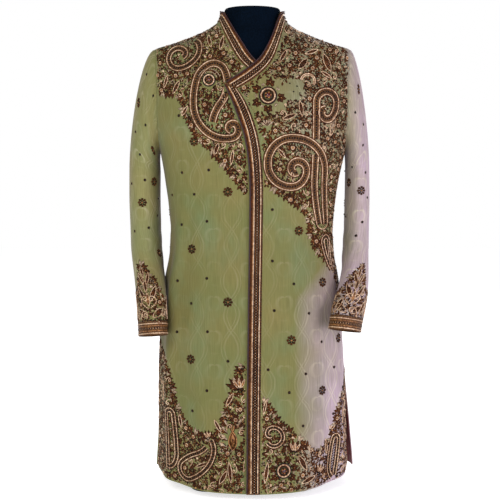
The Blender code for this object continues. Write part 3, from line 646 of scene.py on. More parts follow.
def lap_lift(place, z):
    """How far the overlapping front is raised to lie on the front beneath it."""
    x = section_point(place, z)[..., 0]
    beside = 1 - ease((x - LAP_SIDE_FROM) / LAP_SIDE_FADE)
    return LAP_LIFT * beside * (1 - ease((z - LAP_TOP_FROM) / LAP_TOP_FADE))


def back_flare(place, z):
    """How far the back skirt swings out beside its slits."""
    down = ease((SLIT_TOP - z) / SLIT_TOP * FLARE_HASTE)
    left = FLARE_LEFT * ease(1 - (place - 1) / FLARE_REACH)
    right = FLARE_RIGHT * ease(1 - (3 - place) / FLARE_REACH)
    return (left + right) * down


print("armhole is", round(float(armhole_depth(ARMHOLE_MIDDLE)) * 2, 3), "m from front to back")

# %% [markdown]
# ## Shells
# A cloth panel is a thin closed shell: an outer face, an inner face and a rim between them. It is
# lofted through rows of points in mesh code, because its points come from the surface above. The
# UV map holds metres along the cloth, so a weave has its true size on every panel.

# %% Lofted shell
def triple(across, up):
    """UV pairs for a grid of points."""
    return np.stack(np.broadcast_arrays(across, up), axis=-1)


def put_together(name, points, faces, finishes, slots=None, corners=None):
    """A named, smooth object from points and faces, with its finishes and its UV map."""
    mesh = bpy.data.meshes.new(name)
    mesh.from_pydata(points, [], faces)
    for finish in finishes:
        mesh.materials.append(finish)
    if slots is not None:
        mesh.polygons.foreach_set("material_index", slots)
    if corners is not None:
        layer = mesh.uv_layers.new(name="cloth")
        layer.data.foreach_set("uv", np.asarray(corners, np.float32).ravel())
    mesh.update()
    made = bpy.data.objects.new(name, mesh)
    bpy.context.scene.collection.objects.link(made)
    mesh.shade_smooth()
    return made


def loft(name, outer, inner, finish, flat_map, wrap=False):
    """A closed wall through rows of outer and inner points."""
    rows, columns = outer.shape[:2]
    spans = columns if wrap else columns - 1
    points = np.concatenate([outer.reshape(-1, 3), inner.reshape(-1, 3)])
    low, left = np.meshgrid(np.arange(rows - 1), np.arange(spans), indexing="ij")
    low, left = low.ravel(), left.ravel()
    right = (left + 1) % columns
    a, b = low * columns + left, low * columns + right
    c, d = b + columns, a + columns
    skin = np.stack([a, b, c, d], axis=1)
    inside = skin[:, ::-1] + rows * columns
    maps = np.stack([flat_map[low, left], flat_map[low, left + 1],
                     flat_map[low + 1, left + 1], flat_map[low + 1, left]], axis=1)
    edge = np.arange(spans)
    turn = (edge + 1) % columns
    top = (rows - 1) * columns
    deep = rows * columns
    rims = [np.stack([edge + deep, turn + deep, turn, edge], axis=1),
            np.stack([top + edge, top + turn, top + turn + deep, top + edge + deep], axis=1)]
    rim_maps = [np.stack([flat_map[r, edge], flat_map[r, edge + 1]] * 2, axis=1)[:, [0, 1, 1, 0]]
                for r in (0, rows - 1)]
    if not wrap:
        step = np.arange(rows - 1) * columns
        far = step + columns - 1
        rims.append(np.stack([step + columns + deep, step + deep, step, step + columns], axis=1))
        rims.append(np.stack([far + columns, far, far + deep, far + columns + deep], axis=1))
        for side in (0, columns - 1):
            ends = flat_map[:-1, side], flat_map[1:, side]
            rim_maps.append(np.stack([ends[1], ends[0], ends[0], ends[1]], axis=1))
    faces = np.concatenate([skin, inside, *rims])
    corners = np.concatenate([maps, maps[:, ::-1], *rim_maps])
    along, up = outer[0, 1] - outer[0, 0], outer[1, 0] - outer[0, 0]
    if np.dot(np.cross(along, up), outer[0, 0] - inner[0, 0]) < 0:
        faces, corners = faces[:, ::-1], corners[:, ::-1]
    made = put_together(name, points.tolist(), faces.tolist(), [finish], corners=corners)
    made.data.set_sharp_from_angle(angle=math.radians(60))
    return made


def keep(piece, slot, *nodes):
    """Puts a piece on the body and lets it stand for its CAD nodes. Its slot is not used."""
    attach(piece, "root")
    if nodes:
        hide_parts(*nodes)
    print(piece.name, "has", len(piece.data.polygons), "faces")
    return piece


def running_length(points):
    """Distance along each row of points, from its first point."""
    steps = np.linalg.norm(np.diff(points, axis=1), axis=-1)
    return np.concatenate([np.zeros((len(points), 1)), np.cumsum(steps, axis=1)], axis=1)


def travelled(points):
    """Distance along one row of points, from its first point."""
    steps = np.linalg.norm(np.diff(points, axis=0), axis=-1)
    return np.concatenate([[0.0], np.cumsum(steps)])


GIRTH_PLACES = np.linspace(-1, 3, 401)
GIRTH_HEIGHTS = np.linspace(0, 1.11, 223)
# Columns in a quarter of the way round, so the centre front's column too
GIRTH_QUARTER = 100
GIRTH = running_length(section_point(GIRTH_PLACES[None, :], GIRTH_HEIGHTS[:, None]))
GIRTH -= GIRTH[:, GIRTH_QUARTER, None]


def sampled(grid, rise, step):
    """What a grid of rows of numbers holds between its entries, at a row and a column."""
    rise = np.clip(rise, 0, grid.shape[0] - 1.001)
    step = np.clip(step, 0, grid.shape[1] - 1.001)
    low, left = rise.astype(int), step.astype(int)
    up, across = (rise - low)[..., None], (step - left)[..., None]
    below = mix(grid[low, left], grid[low, left + 1], across)
    above = mix(grid[low + 1, left], grid[low + 1, left + 1], across)
    return mix(below, above, up)


def girth_of(place, z):
    """Distance round the section from the centre front, in metres."""
    step = (place - GIRTH_PLACES[0]) * GIRTH_QUARTER
    return sampled(GIRTH[..., None], z / GIRTH_HEIGHTS[1], step)[..., 0]


print("half the cloth round the waist:", round(float(girth_of(np.array(1.0), np.array(0.59))), 3))

# %% [markdown]
# ## Fronts and back
# The left front laps over the right one and is sewn to the stiff border. The right front runs on
# under it, out of sight. The back is one piece, open at both sides below the hip, and it swings
# out a little past the fronts there.

# %% Panels
ARMHOLE_STEPS = 26
PANEL_COLUMNS = 56
ROWS = np.unique(np.round(np.concatenate([
    np.linspace(HEM_SIDE, 0.150, 12),
    np.linspace(0.150, UNDERARM, 60),
    ARMHOLE_MIDDLE - ARMHOLE_HALF_HEIGHT * np.cos(np.linspace(0, math.pi, ARMHOLE_STEPS)),
    np.linspace(SHOULDER_POINT, NECK_SEAM, 16),
    [SLIT_TOP, COLLAR_LEFT[0].z, UNDERLAP_TOP],
]), 5))


def laid_out(place, z, lift_at, centre):
    """A panel's points, its normals, its lift, and the metres across its cloth."""
    lift = lift_at(place, z) if lift_at else 0 * place
    across = girth_of(place, z) - girth_of(centre + 0 * place, z)
    return *body_surface(place, z), lift[..., None], across


def panel(name, left, right, hem, finish, lift_at=None, depth=0.0, wall=WALL, rows=ROWS,
          columns=PANEL_COLUMNS, centre=0.0):
    """A panel between two edges, each given as a place for every row.

    Its weave is measured across from the centre, the place of its grain line.
    """
    place = mix(left[:, None], right[:, None], np.linspace(0, 1, columns + 1))
    z = row_height(rows[:, None], place, hem)
    point, normal, lift, across = laid_out(place, z, lift_at, centre)
    outer = point + normal * (lift - depth)
    inner = point + normal * (lift - depth - wall)
    return loft(name, outer, inner, finish, triple(across, z))


def slant(edge_at, z):
    """How much longer a level step is than a square one, where an edge slants."""
    slope = (edge_at(z + 0.002) - edge_at(z - 0.002)) / 0.004
    return np.sqrt(1 + slope * slope)


def left_inner_edge(z):
    """Place of the left front's sewn edge: at the border, then at the collar."""
    below = z <= COLLAR_LEFT[0].z
    x = np.where(below, border_inner_at(z), left_seam_at(z))
    stretch = np.where(below, slant(border_inner_at, z), slant(left_seam_at, z))
    return moved_along(place_of(x, z), z, SEAM_GAP / 2 * stretch)


def right_inner_edge(z):
    """Place of the right front's inner edge: under the lap, then at the collar."""
    gap = -SEAM_GAP / 2 * slant(right_seam_at, z)
    sewn = moved_along(place_of(right_seam_at(z), z), z, gap)
    return np.where(z <= UNDERLAP_TOP, place_of(underlap_at(z), z), sewn)


left_front = keep(
    panel("left_front_cloth", left_inner_edge(ROWS), side_edge(ROWS), front_hem, BROCADE, lap_lift),
    "brocade", "left_front",
)
right_front = keep(
    panel("right_front_cloth", -side_edge(ROWS), right_inner_edge(ROWS), front_hem, BROCADE),
    "brocade", "right_front",
)
BACK_EDGE = side_edge(ROWS, back_at, 1)
back = keep(
    panel("back_cloth", BACK_EDGE, 4 - BACK_EDGE, back_hem, BROCADE, back_flare, columns=96,
          centre=2.0),
    "brocade", "back",
)
LINING_ROWS = ROWS[ROWS <= LINING_TOP]
LINING_EDGE = side_edge(LINING_ROWS, back_at, 1)
lining = keep(
    panel(
        "back_lining_cloth", LINING_EDGE, 4 - LINING_EDGE, back_hem, LINING, back_flare,
        depth=WALL + SEAM_GAP, wall=LINING_WALL, rows=LINING_ROWS, columns=96,
    ),
    "lining", "back_lining",
)

# %% [markdown]
# ## Sleeves and cuffs
# Each sleeve leaves an oval armhole level, falls over the shoulder's edge and follows a slightly
# bent arm. It is a closed ring of cloth, so its rows close on themselves. The elbow and the
# shoulder have their own short creases, deeper on the inside of the bend.

# %% Sleeve tables
Ring = namedtuple("Ring", "z x y half_across half_along turn tilt")
LEFT_SLEEVE = [Ring(*row) for row in (
    (0.720, 0.2462, 0.004, 0.0275, 0.0640, 0, 0),
    (0.660, 0.2468, 0.009, 0.0285, 0.0610, 0, 0),
    (0.600, 0.2458, 0.010, 0.0292, 0.0580, 2, 2),
    (0.540, 0.2425, 0.000, 0.0308, 0.0560, 5, 6),
    (0.490, 0.2382, -0.030, 0.0314, 0.0540, 12, 10),
    (0.445, 0.2270, -0.075, 0.0330, 0.0515, 20, 13),
    (0.405, 0.2140, -0.106, 0.0338, 0.0490, 25, 14),
    (0.370, 0.2065, -0.119, 0.0332, 0.0470, 27, 14),
)]
RIGHT_SLEEVE = [Ring(*row) for row in (
    (0.720, 0.2480, 0.004, 0.0360, 0.0620, 0, 0),
    (0.660, 0.2490, 0.009, 0.0360, 0.0590, 0, 0),
    (0.600, 0.2476, 0.010, 0.0358, 0.0570, 0, 2),
    (0.540, 0.2440, 0.000, 0.0365, 0.0550, 3, 5),
    (0.473, 0.2325, -0.045, 0.0350, 0.0530, 8, 9),
    (0.412, 0.2240, -0.088, 0.0322, 0.0500, 12, 12),
    (0.356, 0.2200, -0.104, 0.0317, 0.0470, 14, 13),
)]
CUFF_HEIGHT = 0.029
CAP_OUT = {1: 0.022, -1: 0.034}
CAP_OUT_UNDERARM = 0.004
CAP_DROP_TOP = 0.100
CAP_DROP_UNDERARM = 0.010
CAP_DROP_INSIDE = 0.985
CAP_SINK = -0.002
CAP_ROWS = 16
ARM_ROWS = 40
CUFF_ROWS = 6
SLEEVE_COLUMNS = 64
SLEEVE_ANGLES = np.linspace(-math.pi, math.pi, SLEEVE_COLUMNS, endpoint=False)
Pinch = namedtuple("Pinch", "z depth width")
ELBOW_CREASES = [Pinch(*row) for row in (
    (0.585, 0.0030, 0.012), (0.545, 0.0035, 0.013), (0.500, 0.0025, 0.012),
)]
ELBOW_INSIDE = math.radians(130)
DRAG_SPAN = 0.05
Drag = namedtuple("Drag", "side angle z length width lean height")
# Soft creases of the sleeves: side 1 is the left sleeve, and the angle is 0 outside, 90 in front
DRAGS = [Drag(*row) for row in (
    (1, 60, 0.600, 0.060, 0.007, 12, 0.0016),
    (1, 100, 0.520, 0.040, 0.006, -34, -0.0014),
    (1, 20, 0.460, 0.050, 0.008, 20, 0.0013),
    (1, -60, 0.560, 0.070, 0.008, -14, 0.0015),
    (1, -110, 0.640, 0.060, 0.007, 22, -0.0013),
    (1, 70, 0.690, 0.035, 0.006, 40, -0.0010),
    (-1, 75, 0.620, 0.070, 0.008, -10, 0.0017),
    (-1, 110, 0.535, 0.035, 0.006, 38, -0.0014),
    (-1, 40, 0.500, 0.045, 0.007, -26, 0.0012),
    (-1, -50, 0.600, 0.060, 0.008, 16, 0.0015),
    (-1, -100, 0.480, 0.060, 0.007, -24, -0.0012),
    (-1, 60, 0.420, 0.030, 0.005, 50, -0.0010),
)]

print("rings of the left and right sleeve:", len(LEFT_SLEEVE), len(RIGHT_SLEEVE))

# %% Points of a sleeve
def armhole_point(angle, side):
    """A point of the armhole's edge. Angle 0 is the shoulder, a quarter turn is the front."""
    z = ARMHOLE_MIDDLE + ARMHOLE_HALF_HEIGHT * np.cos(angle)
    depth = armhole_depth(z)
    reach = np.where(np.sin(angle) >= 0, front_at(z), back_at(z))
    share = (1 - (depth / reach) ** roundness_at(z)) ** (1 / roundness_at(z))
    x = shift_at(z) + side * half_width_at(z) * share
    return np.stack([x + side * SEAM_GAP, -np.copysign(depth, np.sin(angle)), z], axis=-1)


def ring_point(shape, z, angle, side, inset=0.0):
    """A point of a sleeve's ring. Angle 0 is the outer side and a quarter turn is the front."""
    z, angle = np.broadcast_arrays(z, angle)
    pinch = sum(p.depth * np.exp(-(((z - p.z) / p.width) ** 2)) for p in ELBOW_CREASES)
    pinch = pinch * np.maximum(0.0, np.cos(angle - ELBOW_INSIDE)) ** 2
    for drag in DRAGS:
        if drag.side == side:
            away = (angle - math.radians(drag.angle) + math.pi) % (2 * math.pi) - math.pi
            pinch = pinch - mound(drag, away * DRAG_SPAN, z - drag.z)
    across = (shape["half_across"](z) - inset - pinch) * np.cos(angle)
    along = (shape["half_along"](z) - inset - pinch) * np.sin(angle)
    turn, tilt = np.radians(shape["turn"](z)), np.radians(shape["tilt"](z))
    x = shape["x"](z) + across * np.cos(turn) - along * np.sin(turn)
    y = shape["y"](z) - along * np.cos(turn) * np.cos(tilt) - across * np.sin(turn)
    return np.stack([side * x, y, z + along * np.sin(tilt)], axis=-1)


def cap_point(start, end, out, drop, share):
    """A cubic curve that leaves the armhole level and arrives at the arm going down."""
    settle = end + np.stack([0 * drop, 0 * drop, drop], axis=-1)
    left = 1 - share
    leaving = start * left**3 + (start + out) * (3 * left**2 * share)
    return leaving + settle * (3 * left * share**2) + end * share**3


def sleeve_grid(table, side):
    """Outer and inner points of a sleeve, from the armhole down to the end of its cuff."""
    shape = columns_of(table)
    angle = SLEEVE_ANGLES
    start = armhole_point(angle, side)
    inward = start.mean(axis=0) - start
    inward[:, 0] = 0
    start_inner = start + unit(inward) * WALL
    top = table[0].z
    end = ring_point(shape, top, angle, side)
    end_inner = ring_point(shape, top, angle, side, WALL)
    lean = (1 + np.cos(angle)) / 2
    reach = side * mix(CAP_OUT_UNDERARM, CAP_OUT[side], lean)
    out = np.stack([reach, 0 * lean, CAP_SINK * lean], axis=-1)
    drop = mix(CAP_DROP_UNDERARM, CAP_DROP_TOP, lean)
    outer, inner = [], []
    for share in np.linspace(0, 1, CAP_ROWS, endpoint=False):
        outer.append(cap_point(start, end, out, drop, share))
        inner.append(cap_point(start_inner, end_inner, out, drop * CAP_DROP_INSIDE, share))
    cut = table[-1].z + CUFF_HEIGHT
    heights = [np.linspace(top, cut + SEAM_GAP, ARM_ROWS), np.linspace(cut, table[-1].z, CUFF_ROWS)]
    for z in np.concatenate(heights):
        outer.append(ring_point(shape, z, angle, side))
        inner.append(ring_point(shape, z, angle, side, WALL))
    return np.array(outer), np.array(inner)


print("a sleeve is", CAP_ROWS + ARM_ROWS, "rows of", SLEEVE_COLUMNS, "points")

# %% Sleeves and cuffs
def sleeve_map(outer):
    """Metres round and down a sleeve, with one more column where it closes."""
    closed = np.concatenate([outer, outer[:, :1]], axis=1)
    around = running_length(closed)
    down = travelled(outer[:, SLEEVE_COLUMNS // 2])
    return triple(around - around[:, -1:] / 2, -down[:, None])


def wrapped_loft(name, outer, inner, finish, slot, node):
    """A ring of cloth that is closed on itself."""
    return keep(loft(name, outer, inner, finish, sleeve_map(outer), wrap=True), slot, node)


def sleeve(name, table, side, node):
    """A sleeve, from the armhole to the top of its cuff band."""
    outer, inner = (grid[:CAP_ROWS + ARM_ROWS] for grid in sleeve_grid(table, side))
    return wrapped_loft(name, outer, inner, BROCADE, "brocade", node)


def cuff(name, table, side, node):
    """The embroidered band at the end of a sleeve, slightly thicker than the cloth."""
    shape = columns_of(table)
    z = (table[-1].z + np.linspace(CUFF_HEIGHT, 0, CUFF_ROWS))[:, None]
    outer = ring_point(shape, z, SLEEVE_ANGLES, side, -BORDER_EXTRA)
    inner = ring_point(shape, z, SLEEVE_ANGLES, side, WALL)
    return wrapped_loft(name, outer, inner, GROUND, "embroidered_border", node)


left_sleeve = sleeve("left_sleeve_cloth", LEFT_SLEEVE, 1, "left_sleeve")
right_sleeve = sleeve("right_sleeve_cloth", RIGHT_SLEEVE, -1, "right_sleeve")
left_cuff = cuff("left_cuff_band", LEFT_SLEEVE, 1, "left_cuff")
right_cuff = cuff("right_cuff_band", RIGHT_SLEEVE, -1, "right_cuff")

# %% [markdown]
# ## Collar and border
# The stiff embroidered band is cut in two pieces that meet in a mitre at the lapel's point. One
# runs down the front edge. The other is the collar: it crosses the chest, stands round the neck
# and ends under the lap. Both are a little thicker than the cloth, because they are backed.

# %% Collar and front border
COLLAR_UNDER_LAP = 0.9600
BAND_COLUMNS = 7
BAND_SHARES = np.linspace(0, 1, BAND_COLUMNS + 1)[None, :]
MITRE_TRIM = 0.0006


def collar_lines():
    """The collar's cross lines: place and height on its seam, then on its free edge."""
    sides = []
    for table, turn in ((COLLAR_LEFT, 0), (COLLAR_RIGHT, 4)):
        shape = columns_of(table)
        even = np.linspace(table[0].z, NECK_SEAM, 44)
        z = np.unique(np.concatenate([even, ROWS[ROWS > table[0].z]]))
        free_z = shape["free_z"](z)
        seam = place_of(shape["seam_x"](z), z)
        free = place_of(shape["free_x"](z), free_z)
        sides.append(np.stack([seam + turn, z, free + turn, free_z], axis=1))
    near = float(moved_along(1.0, NECK_SEAM, SEAM_GAP / 2))
    place = np.linspace(near, 4 - near, 60)
    free_z = mix(COLLAR_FREE_SIDE, COLLAR_FREE_BACK, np.sin((place - 1) * math.pi / 2))
    around = np.stack([place, 0 * place + NECK_SEAM, place, free_z], axis=1)
    return np.concatenate([sides[0], around, sides[1][::-1]])


def band_faces(place, z, lift, extra):
    """Outer and inner points of a band thicker than the cloth, and its normals."""
    point, normal = body_surface(place, z)
    outer = point + normal * (lift + extra)[..., None]
    inner = point + normal * (lift + extra - WALL - extra)[..., None]
    return outer, inner, normal


def collar_grid():
    """Outer and inner points of the collar, and its normals."""
    seam, seam_z, free, free_z = collar_lines().T[:, :, None]
    first = np.arange(len(seam))[:, None] == 0
    seam = np.where(first, moved_along(seam, seam_z, MITRE_TRIM), seam)
    free = np.where(first, moved_along(free, free_z, MITRE_TRIM), free)
    on_left = seam < 1.5
    under = ~on_left & (seam_z < COLLAR_UNDER_LAP)
    extra = np.where(under, 0.0, BORDER_EXTRA)
    ends = body_point(seam, seam_z) - body_point(free, free_z)
    share = np.maximum(BAND_SHARES, SEAM_GAP / np.linalg.norm(ends, axis=-1))
    place, z = mix(seam, free, share), mix(seam_z, free_z, share)
    return band_faces(place, z, np.where(on_left, lap_lift(place, z), 0.0), extra)


def border_grid():
    """Outer and inner points of the front border, from the hem to its mitre."""
    rows = np.unique(np.concatenate([ROWS[ROWS < COLLAR_LEFT[0].z], [COLLAR_LEFT[0].z]]))
    top = (rows == rows[-1])[:, None]
    seam_z = rows[:, None]
    free_z = np.where(top, COLLAR_LEFT[0].free_z, seam_z)
    seam = place_of(border_inner_at(seam_z), seam_z)
    free = place_of(front_edge_at(free_z), free_z)
    seam = moved_along(seam, seam_z, -SEAM_GAP / 2 * slant(border_inner_at, seam_z))
    place = mix(seam, free, BAND_SHARES)
    level = mix(seam_z, free_z, BAND_SHARES) - np.where(top, MITRE_GAP, 0.0)
    z = row_height(level, place, front_hem)
    return band_faces(place, z, lap_lift(place, z), BORDER_EXTRA)


def band_map(outer):
    """Metres across and along a band."""
    return triple(running_length(outer), travelled(outer.mean(axis=1))[:, None])


collar_outer, collar_inner, collar_normal = collar_grid()
border_outer, border_inner, border_normal = border_grid()
collar = keep(
    loft("collar_band", collar_outer, collar_inner, GROUND, band_map(collar_outer)),
    "embroidered_border", "collar",
)
front_border = keep(
    loft("front_border_band", border_outer, border_inner, GROUND, band_map(border_outer)),
    "embroidered_border", "front_border",
)

# %% [markdown]
# ## Drawing boards
# Needlework is easiest to lay out flat. Each cloth piece gets a board: a flat sheet in metres
# whose every spot is known as a point of the curved cloth, with the direction that the cloth
# faces there. Whatever is drawn on the board then lies on the coat.

# %% Boards
BOARD_STEP = 0.002
BOARD_ROW = 0.003
BOARD_SHARES = np.linspace(0, 1, 200)
BOARD_EDGE = 0.0015
OUT_OF_SIGHT = 9.0
VISIBLE_INSET = 0.0012
HEM_CLEAR = 0.012
BACK_HEM_CLEAR = 0.026


class Board:
    """A cloth piece's outer surface as a flat board: metres across, metres up."""

    def __init__(self, name, across, up, points, normals, floor=None):
        self.name = name
        self.up = up
        self.left, self.right = across[:, 0], across[:, -1]
        self.floor = floor
        self.start = across.min()
        self.columns = np.arange(self.start, across.max() + BOARD_STEP, BOARD_STEP)
        known = np.concatenate([points, normals], axis=-1)
        self.grid = np.stack([
            np.stack([np.interp(self.columns, row, values[:, k]) for k in range(6)], axis=-1)
            for row, values in zip(across, known)
        ])
        size = self.columns[-1] - self.start, up[-1] - up[0]
        print("board", name, "is", round(size[0], 3), "by", round(size[1], 3))

    def at(self, spots):
        """Points of the cloth at these spots, and the way it faces."""
        rise = np.interp(spots[..., 1], self.up, np.arange(len(self.up)))
        known = sampled(self.grid, rise, (spots[..., 0] - self.start) / BOARD_STEP)
        return known[..., :3], unit(known[..., 3:])

    def inside(self, spots, edge=BOARD_EDGE):
        """Which spots are on the cloth, at least an edge away from its own edges."""
        u, v = spots[..., 0], spots[..., 1]
        good = u > np.interp(v, self.up, self.left) + edge
        good &= u < np.interp(v, self.up, self.right) - edge
        good &= (v > self.up[0] + edge) & (v < self.up[-1] - edge)
        return good & (v > self.floor(u) + edge) if self.floor else good

    def spot(self, x, z):
        """The spot that the photograph shows at this x and height."""
        faces_back = self.grid[..., 4] > 0.1
        away = np.hypot(self.grid[..., 0] - x, self.grid[..., 2] - z) + OUT_OF_SIGHT * faces_back
        row, column_at = np.unravel_index(np.argmin(away), away.shape)
        return np.array([self.columns[column_at], self.up[row]])

    def outline(self, *corners):
        """Spots of corners given as x and height. An x can be "left" or "right", an edge."""
        edges = {"left": self.left, "right": self.right}
        return np.array([
            (np.interp(z, self.up, edges[x]), z) if x in edges else self.spot(x, z)
            for x, z in corners
        ])


print("boards have", len(BOARD_SHARES), "points across a panel")

# %% Boards of the cloth
def panel_board(name, left_at, right_at, hem, lift_at=None, low=HEM_CLEAR, centre=0.0):
    """The board of a panel of the body, from above its hem to the neck seam."""
    up = np.arange(low, NECK_SEAM, BOARD_ROW)
    place = mix(left_at(up)[:, None], right_at(up)[:, None], BOARD_SHARES)
    z = up[:, None] + 0 * place
    point, normal, lift, across = laid_out(place, z, lift_at, centre)
    hem_z = hem(place[0])
    return Board(name, across, up, point + normal * lift, normal,
                 lambda u: np.interp(u, across[0], hem_z))


def visible_edge(z):
    """Place of the overlapping edge, beyond which the right front is hidden."""
    lapped = np.where(z < FRONT_EDGE[-1].z, front_edge_at(z), lapel_at(z))
    edge = moved_along(place_of(lapped, z), z, -VISIBLE_INSET)
    own = right_inner_edge(z)
    return np.where(z < COLLAR_LEFT[2].free_z, np.minimum(edge, own), own)


def back_side(z):
    """Place of the back's edge on the wearer's left."""
    return side_edge(z, back_at, 1)


lapel_at = column(COLLAR_LEFT, "free_x", "free_z")
left_board = panel_board("left front", left_inner_edge, side_edge, front_hem, lap_lift)
right_board = panel_board("right front", lambda z: -side_edge(z), visible_edge, front_hem)
back_board = panel_board(
    "back", back_side, lambda z: 4 - back_side(z), back_hem, back_flare, BACK_HEM_CLEAR, 2.0
)


def sleeve_board(name, table, side):
    """The board of a sleeve and its cuff, from the cuff's lower edge up."""
    grid = sleeve_grid(table, side)[0][::-1]
    closed = np.concatenate([grid, grid[:, :1]], axis=1)
    across = running_length(closed)
    across -= across[:, -1:] / 2
    up = travelled(grid[:, SLEEVE_COLUMNS // 2])
    wide = np.concatenate([closed[:, -2:-1], closed, closed[:, 1:2]], axis=1)
    normal = np.cross((wide[:, 2:] - wide[:, :-2]), np.gradient(closed, axis=0))
    outwards = closed - grid.mean(axis=1, keepdims=True)
    normal *= np.sign((normal * outwards).sum(axis=-1, keepdims=True))
    return Board(name, across, up, closed, unit(normal))


left_sleeve_board = sleeve_board("left sleeve", LEFT_SLEEVE, 1)
right_sleeve_board = sleeve_board("right sleeve", RIGHT_SLEEVE, -1)


def band_board(name, outer, normal):
    """The board of a stiff band: across it from its seam, and along it."""
    flat = band_map(outer)
    return Board(name, flat[..., 0], flat[:, 0, 1], outer, normal)


border_board = band_board("front border", border_outer, border_normal)
collar_board = band_board("collar", collar_outer, collar_normal)

# %% [markdown]
# ## Stitches
# Everything sewn on is one of four shapes: a cord, a flat couched strip, a bead, or a leaf that is
# padded in the middle. Each is a small closed mesh with few faces, because there are thousands.
# All of one piece's needlework is gathered into one mesh with several finishes.

# %% Needlework
BEAD_RIM = [[math.cos(a), math.sin(a), 0.30] for a in np.radians([0, 60, 120, 180, 240, 300])]
BEAD = np.array([*BEAD_RIM, [0, 0, 0.85], [0, 0, -0.25]])
BEAD_TOP = [[k, (k + 1) % 6, 6] for k in range(6)]
BEAD_BASE = [[(k + 1) % 6, k, 7] for k in range(6)]
BEAD_FACES = np.array(BEAD_TOP + BEAD_BASE)
LEAF_SIDE = 5
CORD_ANGLES = np.radians([-18, 54, 126, 198, 270])
CORD_PROFILE = np.array([[math.cos(a), 0.62 + math.sin(a)] for a in CORD_ANGLES])
STRIP_SUNK = 0.0002
LEAF_RIM = 0.00005
LEAF_SUNK = 0.0003


